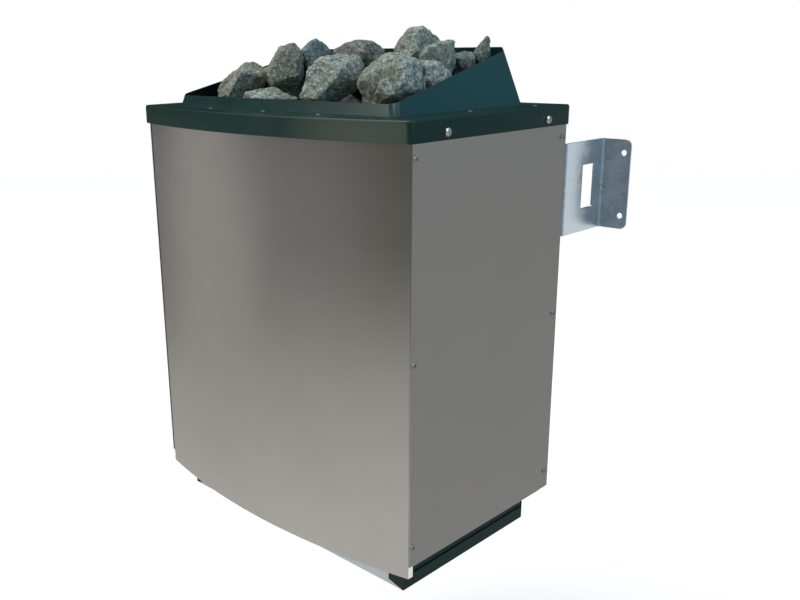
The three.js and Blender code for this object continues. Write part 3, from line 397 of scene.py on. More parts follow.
def add_at(work, part, spot, out):
    """Sets a small turned part on a piece, its axis along out."""
    turn = Vector((0, 0, 1)).rotation_difference(Vector(out)).to_matrix().to_4x4()
    bmesh.ops.transform(part, matrix=Matrix.Translation(Vector(spot) * MM) @ turn, verts=part.verts)
    loose = bpy.data.meshes.new("loose")
    part.to_mesh(loose)
    part.free()
    work.from_mesh(loose)
    bpy.data.meshes.remove(loose)


def rivet(radius, tall):
    """A blind rivet's low dome, with the end of its mandrel sunk in the middle."""
    return spun([(0, tall * 0.62), (radius * 0.28, tall * 0.62), (radius * 0.36, tall),
                 (radius * 0.62, tall * 0.93), (radius * 0.86, tall * 0.66), (radius, tall * 0.22),
                 (radius, -0.2), (0, -0.2)])


HOOK_SHEET = 2
HOOK_PLACE = 120
HOOK_HALF = 20
HOOK_FACE = -80.9
HOOK_TOP = 62.3
HOOK_FOOT = 24.3
HOOK_SEAT = 52.3
HOOK_CORNER = 3
TONGUE_FACE = -75.7
TONGUE_FOOT = 32.3
TONGUE_BEND = 2.4
TONGUE_CORNER = 4
HOOK_RIVET_UP = 57.4
HOOK_RIVET_ACROSS = 11
for name, middle in (("hook_left", -HOOK_PLACE), ("hook_right", HOOK_PLACE)):
    left = middle - HOOK_HALF
    wide = (2 * HOOK_HALF, 0, 0)
    hook = bent_strip([(left, HOOK_FACE, HOOK_TOP), (left, HOOK_FACE, HOOK_FOOT)], wide, ())
    rounded(hook, "VERTICES", list(hook.verts), HOOK_CORNER, 4)
    thicken(hook, HOOK_SHEET, (middle, HOOK_FACE, (HOOK_TOP + HOOK_FOOT) / 2), (0, 1, 0))
    tongue = bent_strip(
        [(left, HOOK_FACE, HOOK_SEAT), (left, TONGUE_FACE, HOOK_SEAT), (left, TONGUE_FACE, TONGUE_FOOT)],
        wide, (TONGUE_BEND,))
    tongue_ends = [vert for vert in tongue.verts if vert.co.z < (TONGUE_FOOT + 1) * MM]
    rounded(tongue, "VERTICES", tongue_ends, TONGUE_CORNER, 4)
    thicken(tongue, HOOK_SHEET, (middle, TONGUE_FACE, (HOOK_SEAT + TONGUE_FOOT) / 2), (0, 1, 0))
    add_at(hook, tongue, (0, 0, 0), (0, 0, 1))
    for x in (middle - HOOK_RIVET_ACROSS, middle + HOOK_RIVET_ACROSS):
        add_at(hook, rivet(radius=2.8, tall=1.3), (x, HOOK_FACE, HOOK_RIVET_UP), (0, 1, 0))
    place(name + "_strip", hook, galvanised, "heater", [name], edge=0.25)

# Rear panel: 1 mm galvanised sheet between the side panels, its edges folded forwards inside them.
# The hooks' rivets come through it.
CASING_SHEET = 1
REAR_FACE = -83.2
REAR_FOLD_END = -98.2
REAR_BEND = 2
PANEL_TOP = 89.9
SIDE_FOOT = -349
PANEL_HALF = 201.2
rear = bent_strip(
    [(-PANEL_HALF, REAR_FOLD_END, SIDE_FOOT), (-PANEL_HALF, REAR_FACE, SIDE_FOOT),
     (PANEL_HALF, REAR_FACE, SIDE_FOOT), (PANEL_HALF, REAR_FOLD_END, SIDE_FOOT)],
    (0, 0, PANEL_TOP - SIDE_FOOT), (REAR_BEND, REAR_BEND))
thicken(rear, CASING_SHEET, (0, REAR_FACE, 0), (0, 1, 0))
place("rear_panel_sheet", rear, galvanised, "heater", ["rear_panel"], edge=0.2)

# Side panels: 1 mm stainless sheet, ground to a fine level grain, with a hem folded inwards along the
# bottom. Six small pan-head screws hold each one to the front and rear panels' folds.
stainless, tree, shader, where = new_finish("ground_stainless", Metallic=1.0)
grain = speckle(tree, where, 1.0, 3.0, 0.6, stretch=(30.0, 30.0, 1500.0))
smudge = speckle(tree, where, 9.0, 4.0, 0.55)
sheen = speckle(tree, where, 3.0, 2.0)
steel = ramp(tree, grain, (0.25, (0.64, 0.635, 0.62)), (0.75, (0.665, 0.66, 0.645)))
tree.links.new(mixed(tree, levels(tree, smudge, 0.0, 0.22, 0.45, 0.75), steel, (0.58, 0.575, 0.56, 1)),
               shader.inputs["Base Color"])
polish = worked_out(tree, "ADD", levels(tree, smudge, -0.03, 0.05, 0.3, 0.7),
                    levels(tree, grain, 0.17, 0.23, 0.3, 0.7))
tree.links.new(polish, shader.inputs["Roughness"])
relief(tree, shader, mixed(tree, 0.12, grain, sheen), 0.02, 0.10)

dull_steel, tree, shader, where = new_finish("dull_steel", Metallic=0.8, Roughness=0.5)
rubbed = speckle(tree, where, 380.0, 4.0)
tree.links.new(ramp(tree, rubbed, (0.3, (0.30, 0.285, 0.265)), (0.7, (0.45, 0.43, 0.405))),
               shader.inputs["Base Color"])
relief(tree, shader, rubbed, 0.03, 0.4)


def edges_of(made, key="geom"):
    return [item for item in made[key] if isinstance(item, bmesh.types.BMEdge)]


def everything_in(work):
    return work.verts[:] + work.edges[:] + work.faces[:]


def pan_head(radius, tall, slot_half):
    """A turned screw head with a rounded shoulder and a cross recess pressed into its top."""
    head = spun([(radius * 0.93, -0.1), (radius, tall * 0.12), (radius, tall * 0.42),
                 (radius * 0.93, tall * 0.76), (radius * 0.72, tall)])
    rim = [edge for edge in head.edges
           if len(edge.link_faces) == 1 and all(vert.co.z > tall * 0.99 * MM for vert in edge.verts)]
    arm, reach = slot_half, radius * 0.56
    cross = [(arm, arm), (reach, arm), (reach, -arm), (arm, -arm), (arm, -reach), (-arm, -reach),
             (-arm, -arm), (-reach, -arm), (-reach, arm), (-arm, arm), (-arm, reach), (arm, reach)]
    points = [head.verts.new((x * MM, y * MM, tall * MM)) for x, y in cross]
    lip = [head.edges.new(pair) for pair in zip(points, points[1:] + points[:1])]
    bmesh.ops.triangle_fill(head, use_beauty=True, edges=rim + lip, normal=(0, 0, 1))
    sunk = bmesh.ops.extrude_edge_only(head, edges=lip)
    bottom = points_of(sunk)
    bmesh.ops.translate(head, verts=bottom, vec=(0, 0, -tall * 0.6 * MM))
    bmesh.ops.scale(head, verts=bottom, vec=(0.7, 0.7, 1))
    bmesh.ops.contextual_create(head, geom=edges_of(sunk))
    foot = [edge for edge in head.edges if len(edge.link_faces) == 1]
    bmesh.ops.holes_fill(head, edges=foot, sides=0)
    bmesh.ops.recalc_face_normals(head, faces=head.faces)
    return head


SIDE_FACE = 202.5
SIDE_BEND = 1.5
CASING_FRONT = -330.2
HEM_IN = 193.5
HEM_FRONT = -322.9
HEM_REAR = -98.5
SIDE_SCREW_FRONT = -326.4
SIDE_SCREW_REAR = -90.7
SIDE_SCREW_HEIGHTS = (58, -134, -326)
for name, side in (("left", -1), ("right", 1)):
    sheet = bent_strip(
        [(side * SIDE_FACE, CASING_FRONT, PANEL_TOP), (side * SIDE_FACE, CASING_FRONT, SIDE_FOOT),
         (side * HEM_IN, CASING_FRONT, SIDE_FOOT)],
        (0, REAR_FACE - CASING_FRONT, 0), (SIDE_BEND,))
    for cut in (HEM_FRONT, HEM_REAR):
        bmesh.ops.bisect_plane(sheet, geom=everything_in(sheet), plane_co=(0, cut * MM, 0),
                               plane_no=(0, 1, 0))
    spare = [face for face in sheet.faces
             if abs(face.calc_center_median().x) < (SIDE_FACE - 0.02) * MM
             and not HEM_FRONT * MM < face.calc_center_median().y < HEM_REAR * MM]
    bmesh.ops.delete(sheet, geom=spare, context="FACES")
    thicken(sheet, CASING_SHEET, (side * SIDE_FACE, (CASING_FRONT + REAR_FACE) / 2, 0), (side, 0, 0))
    place(name + "_side_sheet", sheet, stainless, "heater", [name + "_side_panel"], edge=0.2)
    screws = bmesh.new()
    for y in (SIDE_SCREW_FRONT, SIDE_SCREW_REAR):
        for z in SIDE_SCREW_HEIGHTS:
            head = pan_head(radius=3.2, tall=1.6, slot_half=0.6)
            add_at(screws, head, (side * SIDE_FACE, y, z), (side, 0, 0))
    place(name + "_side_screws", screws, dull_steel, "heater", [], crisp=40)

# Front panel: one stainless sheet of 1 mm, rolled to a shallow bow. Its edges are folded back inside
# the side panels round a wide tool, so the corners catch a soft light strip.
FRONT_FOOT = -360.8
FRONT_BOW = 23.3
FRONT_RETURN = 7
FRONT_BEND = 3.6
bow_radius = (PANEL_HALF ** 2 + FRONT_BOW ** 2) / (2 * FRONT_BOW)
bow_middle = CASING_FRONT - FRONT_BOW + bow_radius
bow_swing = 2 * math.asin(PANEL_HALF / bow_radius)
front = bmesh.new()
upright = [front.verts.new(Vector((-PANEL_HALF * MM, CASING_FRONT * MM, z * MM)))
           for z in (FRONT_FOOT, PANEL_TOP)]
bmesh.ops.spin(front, geom=upright + [front.edges.new(upright)], cent=(0, bow_middle * MM, 0),
               axis=(0, 0, 1), dvec=(0, 0, 0), angle=bow_swing, steps=72,
               use_merge=False, use_duplicate=False)
outer_edges = [edge for edge in front.edges
               if all(abs(vert.co.x) > (PANEL_HALF - 0.01) * MM for vert in edge.verts)]
returns = bmesh.ops.extrude_edge_only(front, edges=outer_edges)
bmesh.ops.translate(front, verts=points_of(returns), vec=(0, FRONT_RETURN * MM, 0))
for side in (-1, 1):
    round_fold(front, Vector((side * PANEL_HALF, CASING_FRONT, PANEL_TOP)) * MM, FRONT_BEND)
thicken(front, CASING_SHEET, (0, CASING_FRONT - FRONT_BOW, 0), (0, -1, 0))
front_sheet = place("front_panel_sheet", front, stainless, "heater", ["front_panel"], edge=0.2)
return_light = soft_light("return_light", spot=(0.475, -0.005, -0.62), aim=(0.2, -0.33, -0.355),
                          size=0.3, watts=0.2, colour=(1.0, 0.98, 0.94))
light_only(return_light, front_sheet)

# Base tray and inner core: a dark green powder-coated tray with cut front tabs, green core sides, and bare
# galvanised front and rear core plates, whose front one shows as a bright strip under the bowed casing.
# The terminal box stands on the tray, and six zinc-plated screws hold its cover from below.
green, tree, shader, where = new_finish("green_powder_coat", Specular_IOR_Level=0.25)
peel = speckle(tree, where, 700.0, 2.0)
dust = speckle(tree, where, 26.0, 5.0, 0.6)
coat = ramp(tree, dust, (0.3, (0.0040, 0.0215, 0.0195)), (0.62, (0.0050, 0.0240, 0.0215)),
            (0.85, (0.0120, 0.0300, 0.0270)))
# Painted shade: on the hopper's marked inward faces, the coat is darkened to nearly black.
painted_inner_shade = add_node(tree, "Attribute", attribute_name="painted_inner_shade").outputs["Fac"]
tree.links.new(mixed(tree, painted_inner_shade, coat, (0.0012, 0.0030, 0.0028, 1)), shader.inputs["Base Color"])
tree.links.new(levels(tree, dust, 0.25, 0.38, 0.3, 0.8), shader.inputs["Roughness"])
relief(tree, shader, peel, 0.05, 0.3)

zinc, tree, shader, where = new_finish("bright_zinc", Metallic=0.9, Roughness=0.33)
tarnish = speckle(tree, where, 420.0, 4.0)
tree.links.new(ramp(tree, tarnish, (0.3, (0.62, 0.58, 0.56)), (0.7, (0.86, 0.82, 0.80))),
               shader.inputs["Base Color"])
relief(tree, shader, tarnish, 0.03, 0.4)


def copied(node):
    """A copy of a plain sheet or block as it was cut, its faces made whole."""
    work = bmesh.new()
    work.from_mesh(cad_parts[node].data)
    bmesh.ops.remove_doubles(work, verts=work.verts, dist=1e-6)
    bmesh.ops.dissolve_limit(work, angle_limit=math.radians(1), verts=work.verts, edges=work.edges)
    return work


PLATE_LIP = 1.4
HATCH_FACE = -393.9
HATCH_SCREWS_ACROSS = (-102, 0, 102)
HATCH_SCREWS_BACK = (-285, -126)
for node in ("base_tray", "core_side_left", "core_side_right"):
    place(node + "_sheet", copied(node), green, "heater", [node], edge=0.25)
for node in ("core_front_plate", "core_rear_plate", "terminal_box", "terminal_cover"):
    plate = copied(node)
    if node == "core_front_plate":
        lowest = [vert for vert in plate.verts if vert.co.z < SIDE_FOOT * MM]
        bmesh.ops.translate(plate, verts=lowest, vec=(0, 0, -PLATE_LIP * MM))
    place(node + "_sheet", plate, galvanised, "heater", [node], edge=0.2)
hatch_screws = bmesh.new()
for x in HATCH_SCREWS_ACROSS:
    for y in HATCH_SCREWS_BACK:
        head = pan_head(radius=3.4, tall=1.6, slot_half=0.5)
        add_at(hatch_screws, head, (x, y, HATCH_FACE), (0, 0, -1))
place("terminal_cover_screws", hatch_screws, zinc, "heater", [], crisp=40)

# Terminal block and cable gland: a pressed ceramic block with a row of screw wells, and a black nylon
# gland in the tray's rear wall, with a ribbed cap and its locknut inside.
ceramic, tree, shader, where = new_finish("pressed_ceramic", Roughness=0.5)
fired = speckle(tree, where, 160.0, 4.0)
tree.links.new(ramp(tree, fired, (0.3, (0.66, 0.62, 0.53)), (0.7, (0.80, 0.76, 0.67))),
               shader.inputs["Base Color"])
relief(tree, shader, fired, 0.1, 0.4)
place("terminal_block_body", copied("terminal_block"), ceramic, "heater", ["terminal_block"],
      edge=0.8)

nylon, tree, shader, where = new_finish("black_nylon", Roughness=0.42)
moulded = speckle(tree, where, 900.0, 2.0)
tree.links.new(ramp(tree, moulded, (0.3, (0.018, 0.019, 0.020)), (0.7, (0.030, 0.031, 0.032))),
               shader.inputs["Base Color"])
relief(tree, shader, moulded, 0.03, 0.4)
GLAND_SPOT = (-60, -98.1, -374.4)
GLAND_BODY = ((5, -9.8), (8, -9.8), (8, 0), (8.6, 0), (8.6, 7), (10.6, 7), (10.8, 7.6), (10.8, 14.6),
              (10.2, 15.4), (8.2, 20.6), (7.2, 21.8), (6.4, 22), (5.4, 21.6), (5, 20.8), (5, -9.8))
GLAND_NUT = ((7.9, 0.2), (12, 0.2), (12, 6.8), (7.9, 6.8), (7.9, 0.2))
RIB_COUNT = 18
RIB_SIZE = (0.5, 1.1, 6.4)
RIB_OUT = 10.85
RIB_MIDDLE = 11
gland = spun(GLAND_BODY, 36)
add_at(gland, spun(GLAND_NUT, 6), (0, 0, 0), (0, 0, 1))
for step in range(RIB_COUNT):
    turn = step * 2 * math.pi / RIB_COUNT
    rib = bmesh.new()
    bmesh.ops.create_cube(rib, size=MM)
    bmesh.ops.scale(rib, verts=rib.verts, vec=RIB_SIZE)
    bmesh.ops.rotate(rib, verts=rib.verts, cent=(0, 0, 0), matrix=Matrix.Rotation(turn, 3, "Z"))
    add_at(gland, rib, (RIB_OUT * math.cos(turn), RIB_OUT * math.sin(turn), RIB_MIDDLE), (0, 0, 1))
seated_gland = bmesh.new()
add_at(seated_gland, gland, GLAND_SPOT, (0, 1, 0))
place("cable_gland_body", seated_gland, nylon, "heater", ["cable_gland"], edge=0.2)
place("gland_locknut_body", copied("gland_locknut"), nylon, "heater", ["gland_locknut"],
      edge=0.4)

# Stone grate and heating elements: welded steel bars on two crossbars, and three bent tubes whose ends go
# down through the terminal box's top with a hex collar each. The heat has turned them dark and scaly.
scaled, tree, shader, where = new_finish("scaled_steel", Metallic=0.75)
scale = speckle(tree, where, 240.0, 6.0, 0.65)
burn = speckle(tree, where, 24.0, 3.0)
tree.links.new(mixed(tree, levels(tree, burn, 0.0, 0.6, 0.4, 0.65),
                     ramp(tree, scale, (0.3, (0.055, 0.052, 0.050)), (0.7, (0.125, 0.115, 0.105))),
                     (0.105, 0.070, 0.050, 1)), shader.inputs["Base Color"])
tree.links.new(levels(tree, scale, 0.42, 0.68), shader.inputs["Roughness"])
relief(tree, shader, scale, 0.12, 0.5)
place("stone_grate_bars", copied("stone_grate"), scaled, "heater", ["stone_grate"], edge=0.7)

TUBE_RADIUS = 4
LEG_COUNT = 4
LEG_PITCH = 44
FIRST_LEG = -271.4
TUBE_TAIL = -361.2
LOW_BEND = -261.2
HIGH_BEND = 12.8
COLLAR_FOOT = -344.6
COLLAR = ((4.05, 0), (7.6, 0), (8, 0.5), (8, 7.5), (7.6, 8), (4.05, 8), (4.05, 0))


def heating_tube(x):
    """Pulls a ring up and down through the legs and swings it round each half turn between them."""
    tube = bmesh.new()
    ring = bmesh.ops.create_circle(tube, cap_ends=True, radius=TUBE_RADIUS * MM, segments=20,
                                   matrix=Matrix.Translation(Vector((x, FIRST_LEG, TUBE_TAIL)) * MM))["verts"]
    end = list(dict.fromkeys(edge for vert in ring for edge in vert.link_edges))
    reach = TUBE_TAIL
    for leg in range(LEG_COUNT):
        rising = leg % 2 == 0
        last = leg == LEG_COUNT - 1
        goal = TUBE_TAIL if last else HIGH_BEND if rising else LOW_BEND
        pulled = bmesh.ops.extrude_edge_only(tube, edges=end)
        bmesh.ops.translate(tube, verts=points_of(pulled), vec=(0, 0, (goal - reach) * MM))
        end = edges_of(pulled)
        reach = goal
        if not last:
            middle = Vector((x, FIRST_LEG + (leg + 0.5) * LEG_PITCH, goal)) * MM
            last_ring = list(dict.fromkeys(vert for edge in end for vert in edge.verts))
            bent = bmesh.ops.spin(tube, geom=last_ring + end, cent=middle, axis=(1, 0, 0), dvec=(0, 0, 0),
                                  angle=-math.pi if rising else math.pi, steps=14,
                                  use_merge=False, use_duplicate=False)
            end = edges_of(bent, "geom_last")
    bmesh.ops.contextual_create(tube, geom=end)
    bmesh.ops.remove_doubles(tube, verts=tube.verts, dist=1e-6)
    bmesh.ops.recalc_face_normals(tube, faces=tube.faces)
    return tube


for name, x in (("left", -90), ("centre", 0), ("right", 90)):
    tube = heating_tube(x)
    for y in (FIRST_LEG, FIRST_LEG + (LEG_COUNT - 1) * LEG_PITCH):
        add_at(tube, spun(COLLAR, 6), (x, y, COLLAR_FOOT), (0, 0, 1))
    place("heating_tube_" + name, tube, scaled, "heater", ["heating_element_" + name])

# Stone hopper: four leaning walls of 1.2 mm green sheet, welded round their corners, low in front and
# high at the rear, on a flange that lies under the top frame. Its inward faces are painted nearly black as
# painted shade.
GREEN_SHEET = 1.2
FRAME_TOP = 91.4
HOPPER_HALF = 166.6
HOPPER_FRONT = -313.6
HOPPER_REAR = -112.2
HOPPER_LEAN = 0.25
HOPPER_FOOT = -1.5
FRONT = -1
REAR = 1
HOPPER_RIM = {FRONT: 11, REAR: 58.8}
HOPPER_CORNER = {FRONT: 10, REAR: 4}
RIM_ROUND = 6
RIM_DROP = 3.5
FLANGE_SIDES = 26
FLANGE_ENDS = 13
FLANGE_FOLD = 1.6
mouth_middle = (HOPPER_FRONT + HOPPER_REAR) / 2


def hopper_corner(u, v, up):
    edge = HOPPER_FRONT if v == FRONT else HOPPER_REAR
    return Vector((u * (HOPPER_HALF - HOPPER_LEAN * up), edge - v * HOPPER_LEAN * up, FRAME_TOP + up)) * MM


hopper = bmesh.new()
corners = ((-1, FRONT), (1, FRONT), (1, REAR), (-1, REAR))
low = [hopper.verts.new(hopper_corner(u, v, HOPPER_FOOT)) for u, v in corners]
high = [hopper.verts.new(hopper_corner(u, v, HOPPER_RIM[v])) for u, v in corners]
for i in range(4):
    hopper.faces.new((low[i - 1], low[i], high[i], high[i - 1]))
for v, weld_radius in HOPPER_CORNER.items():
    feet = [hopper_corner(u, v, HOPPER_FOOT) for u in (-1, 1)]
    welds = [edge for edge in hopper.edges if len(edge.link_faces) == 2
             and any((vert.co - foot).length < 1e-6 for vert in edge.verts for foot in feet)]
    rounded(hopper, "EDGES", welds, weld_radius, 6)
rim_flat = HOPPER_HALF - HOPPER_LEAN * HOPPER_RIM[REAR] - RIM_ROUND
for vert in hopper.verts:
    past = (abs(vert.co.x) / MM - rim_flat) / RIM_ROUND
    if vert.co.z > (FRAME_TOP + HOPPER_RIM[REAR] - 4) * MM and past > 0:
        vert.co.z -= RIM_DROP * past ** 2 * MM
foot_edges = [edge for edge in hopper.edges
              if all(abs(vert.co.z - (FRAME_TOP + HOPPER_FOOT) * MM) < 1e-5 for vert in edge.verts)]
for vert in points_of(bmesh.ops.extrude_edge_only(hopper, edges=foot_edges)):
    vert.co.x += math.copysign(FLANGE_SIDES * MM, vert.co.x)
    vert.co.y += math.copysign(FLANGE_ENDS * MM, vert.co.y - mouth_middle * MM)
rounded(hopper, "EDGES", [edge for edge in foot_edges if edge.is_valid], FLANGE_FOLD, 4)
thicken(hopper, GREEN_SHEET, (0, HOPPER_FRONT, FRAME_TOP + HOPPER_RIM[FRONT] / 2), (0, -1, 0))
hopper.normal_update()
# Marks the hopper's inward faces for the painted shade that darkens them.
inner_shade_layer = hopper.verts.layers.float.new("painted_inner_shade")
for vert in hopper.verts:
    inwards = Vector((-vert.co.x, mouth_middle * MM - vert.co.y, 0))
    vert[inner_shade_layer] = 1 if vert.normal.dot(inwards.normalized()) > 0.3 else 0
hopper_sheet = place("stone_hopper_sheet", hopper, green, "heater", ["stone_hopper"], edge=0.3)
hopper_window = soft_light("hopper_window", spot=(1.50, 1.44, 0.69), aim=(0.16, -0.2, 0.12),
                           size=1.4, watts=2.5, colour=(0.08, 0.50, 1.0))
corner_light = soft_light("corner_light", spot=(1.53, -1.52, 0.91), aim=(0.16, -0.31, 0.1),
                          size=0.25, watts=40, colour=(0.80, 0.80, 1.0))
hopper_light = soft_light("hopper_light", spot=(-0.70, -1.79, 0.65), aim=(0.15, -0.31, 0.1),
                          size=0.5, watts=4.6, colour=(1.0, 0.84, 0.68))
for lamp in (hopper_window, corner_light, hopper_light):
    light_only(lamp, hopper_sheet)

# Top frame: 1.2 mm green sheet, folded down into a skirt over the casing's upper edge and open where the
# hopper comes up. Blind rivets hold the hopper's flange under it.
FRAME_HALF = 205
FRAME_FRONT = -334.4
FRAME_REAR = -81.6
FRAME_BOW = 27
FRAME_SKIRT = 20.4
FRAME_FRONT_CORNER = 5
FRAME_REAR_CORNER = 3
FRAME_BRIM = 2.4
MOUTH_GAP = 0.3
RIVET_PLACES = ((-84, -330), (0, -327.5), (84, -330), (-179, -218.8), (179, -218.8),
                (-189, -123.2), (189, -123.2), (-84, -97), (84, -97))
frame_radius = (FRAME_HALF ** 2 + FRAME_BOW ** 2) / (2 * FRAME_BOW)
frame_middle = FRAME_FRONT - FRAME_BOW + frame_radius
frame_swing = 2 * math.asin(FRAME_HALF / frame_radius)
top = bmesh.new()
start = top.verts.new((-FRAME_HALF * MM, FRAME_FRONT * MM, FRAME_TOP * MM))
bmesh.ops.spin(top, geom=[start], cent=(0, frame_middle * MM, 0), axis=(0, 0, 1), dvec=(0, 0, 0),
               angle=frame_swing, steps=64, use_merge=False, use_duplicate=False)
front_edge = sorted(top.verts, key=lambda vert: vert.co.x)
rear_ends = [top.verts.new((x * MM, FRAME_REAR * MM, FRAME_TOP * MM)) for x in (FRAME_HALF, -FRAME_HALF)]
top.faces.new(front_edge + rear_ends)
rounded(top, "VERTICES", [front_edge[0], front_edge[-1]], FRAME_FRONT_CORNER, 6)
rear_ends = [vert for vert in top.verts if vert.co.y > (FRAME_REAR - 0.1) * MM]
rounded(top, "VERTICES", rear_ends, FRAME_REAR_CORNER, 4)
skirt = bmesh.ops.extrude_edge_only(top, edges=list(top.edges))
bmesh.ops.translate(top, verts=points_of(skirt), vec=(0, 0, -FRAME_SKIRT * MM))
brim = [edge for edge in top.edges
        if len(edge.link_faces) == 2 and all(vert.co.z > (FRAME_TOP - 0.1) * MM for vert in edge.verts)]
rounded(top, "EDGES", brim, FRAME_BRIM, 4)
top.normal_update()
mouth_half = (HOPPER_REAR - HOPPER_FRONT) / 2
cut_out(top, "z", ((0, mouth_middle, FRAME_TOP), HOPPER_HALF + MOUTH_GAP, mouth_half + MOUTH_GAP,
                   HOPPER_CORNER[REAR]))
thicken(top, GREEN_SHEET, (0, HOPPER_FRONT, FRAME_TOP), (0, 0, 1))
frame_sheet = place("top_frame_sheet", top, green, "heater", ["top_frame"], edge=0.25)
rim_light = soft_light("rim_light", spot=(-0.40, -2.03, -0.01), aim=(0.14, -0.334, 0.08),
                       size=1.1, watts=9, colour=(1.0, 0.88, 0.70))
light_only(rim_light, frame_sheet)
rivets = bmesh.new()
for x, y in RIVET_PLACES:
    add_at(rivets, rivet(radius=2.3, tall=0.35), (x, y, FRAME_TOP), (0, 0, 1))
place("flange_rivets", rivets, dull_steel, "heater", [], crisp=50)

# Frame screws: four zinc-plated pan-head screws with a cross recess. They go through the frame's skirt
# into the side panels, two on each side, and hold the frame down on the casing.
SCREW_FACE = 205.3
SCREW_UP = 78.2
SCREW_SHANK = ((0, -9), (1.5, -9), (2, -8.3), (2, 0), (0, 0))
SCREW_PLACES = (("left_front", -1, -286.2), ("left_rear", -1, -123.2),
                ("right_front", 1, -286.2), ("right_rear", 1, -123.2))
for name, side, y in SCREW_PLACES:
    screw = pan_head(radius=4, tall=2.6, slot_half=0.62)
    add_at(screw, spun(SCREW_SHANK, 16), (0, 0, 0), (0, 0, 1))
    seated_screw = bmesh.new()
    add_at(seated_screw, screw, (side * SCREW_FACE, y, SCREW_UP), (side, 0, 0))
    place("frame_screw_head_" + name, seated_screw, zinc, "heater", ["frame_screw_" + name], crisp=40)


# Stones: split hard grey-green rock, piled in the hopper and packed between the tubes below. Their broken
# faces are flat chips of all sizes, with paler edges, partly wear and partly painted highlight, and painted
# shade in the hollows between them.
def rock_finish(name, pale, middle, dark, patch):
    finish, tree, shader, where = new_finish(name, Roughness=0.92)
    crystal = speckle(tree, where, 430.0, 3.0, 0.6)
    grainy = speckle(tree, where, 170.0, 6.0, 0.72)
    blotch = speckle(tree, where, 30.0, 3.0)
    wear_and_painted_shade = add_node(tree, "Attribute", attribute_name="edge").outputs["Fac"]
    body = ramp(tree, grainy, (0.33, dark), (0.48, middle), (0.62, pale))
    stained = mixed(tree, levels(tree, blotch, 0.0, 0.7, 0.45, 0.62), body, (*patch, 1))
    # Paler ridges are partly wear and partly painted highlight; the darker hollows are painted shade.
    edges_worn_and_lit = mixed(tree, levels(tree, wear_and_painted_shade, 0.0, 0.7, 0.05, 0.35), stained, (*[1.2 * c for c in pale], 1))
    hollows_painted_dark = mixed(tree, levels(tree, wear_and_painted_shade, 0.7, 0.0, -0.35, -0.05), edges_worn_and_lit, (*[0.8 * c for c in dark], 1))
    specks = ramp(tree, crystal, (0.36, (0.56, 0.56, 0.56)), (0.5, (0.96, 0.96, 0.96)),
                  (0.64, (1.48, 1.50, 1.46)))
    tree.links.new(mixed(tree, 1.0, hollows_painted_dark, specks, "MULTIPLY"), shader.inputs["Base Color"])
    relief(tree, shader, mixed(tree, 0.5, crystal, grainy), 1.3, 0.8)
    return finish


grey_green = rock_finish("grey_green_rock", pale=(0.280, 0.322, 0.300), middle=(0.150, 0.180, 0.165),
                         dark=(0.061, 0.079, 0.072), patch=(0.126, 0.136, 0.098))
blue_grey = rock_finish("blue_grey_rock", pale=(0.200, 0.250, 0.262), middle=(0.095, 0.130, 0.140),
                        dark=(0.040, 0.058, 0.065), patch=(0.066, 0.093, 0.107))
pale_grey = rock_finish("pale_rock", pale=(0.340, 0.375, 0.358), middle=(0.196, 0.224, 0.214),
                        dark=(0.084, 0.102, 0.097), patch=(0.155, 0.174, 0.157))
# A darker copy of the same rock, as painted shade: used for stones deep in the pile, for the bed under it,
# and for the seen stones left out of ROCK_OF.
shaded_rock = rock_finish("painted_shade_rock", pale=(0.195, 0.212, 0.204), middle=(0.102, 0.116, 0.110),
                    dark=(0.039, 0.047, 0.044), patch=(0.074, 0.083, 0.070))
olive = rock_finish("olive_rock", pale=(0.225, 0.240, 0.205), middle=(0.116, 0.127, 0.104),
                    dark=(0.048, 0.056, 0.046), patch=(0.096, 0.098, 0.070))
ROCK_OF = {1: grey_green, 2: grey_green, 3: olive, 4: blue_grey, 5: grey_green, 6: grey_green,
           7: pale_grey, 9: grey_green, 10: grey_green}
CHIPS = ((22, 0.22), (9, 0.28), (4.5, 0.26))
GRIT = 3.2 * MM
EVEN = Vector((0.5, 0.5, 0.5))
SPLITS = {
    1: (((-0.11, -0.94, 0.42), 14), ((0.69, -0.11, 0.87), 9), ((0.76, -0.39, -0.21), 12)),
    2: (((0.20, -0.30, 0.93), 3), ((0.35, -0.90, 0.30), 2)),
    3: (((0.52, -0.78, 0.17), 13), ((0.76, 0.10, 0.69), 4), ((0.50, -0.30, -0.75), 9),
        ((-0.36, -0.77, 0.58), 5)),
    4: (((0.90, -0.11, 0.41), 10), ((-0.30, -0.60, 0.75), 2)),
    5: (((0.31, -0.30, 0.98), 8), ((0.06, -0.90, 0.30), 13), ((0.90, 0.03, 0.33), 15),
        ((0.70, -0.20, -0.65), 12)),
    6: (((0.07, -0.55, 0.93), 9), ((0.38, -0.85, 0.25), 12), ((0.92, 0.0, 0.35), 12),
        ((-0.14, -0.84, -0.36), 8)),
    7: (((0.30, -0.20, 0.93), 4), ((0.90, 0.10, 0.40), 8), ((0.60, -0.75, 0.20), 6)),
    8: (((0.10, -0.20, 0.97), 3), ((0.10, -0.85, 0.50), 8), ((0.85, 0.0, 0.50), 8)),
    9: (((0.05, -0.85, 0.50), 10), ((0.85, -0.10, 0.50), 10), ((0.0, -0.30, 0.95), 4)),
    10: (((0.60, -0.75, -0.05), 11), ((0.95, 0.0, 0.25), 4), ((0.20, 0.10, 0.97), 2)),
    11: (((0.90, -0.30, 0.25), 4), ((0.30, -0.95, 0.10), 3)),
    12: (((0.30, -0.40, 0.87), 4),),
}
LOW_SPLIT_COUNT = 7
LOW_SPLIT_DEPTH = 8
LOW_SPLIT_TURN = math.pi * (3 - math.sqrt(5))
LOW_SPLIT_RISE = 0.2


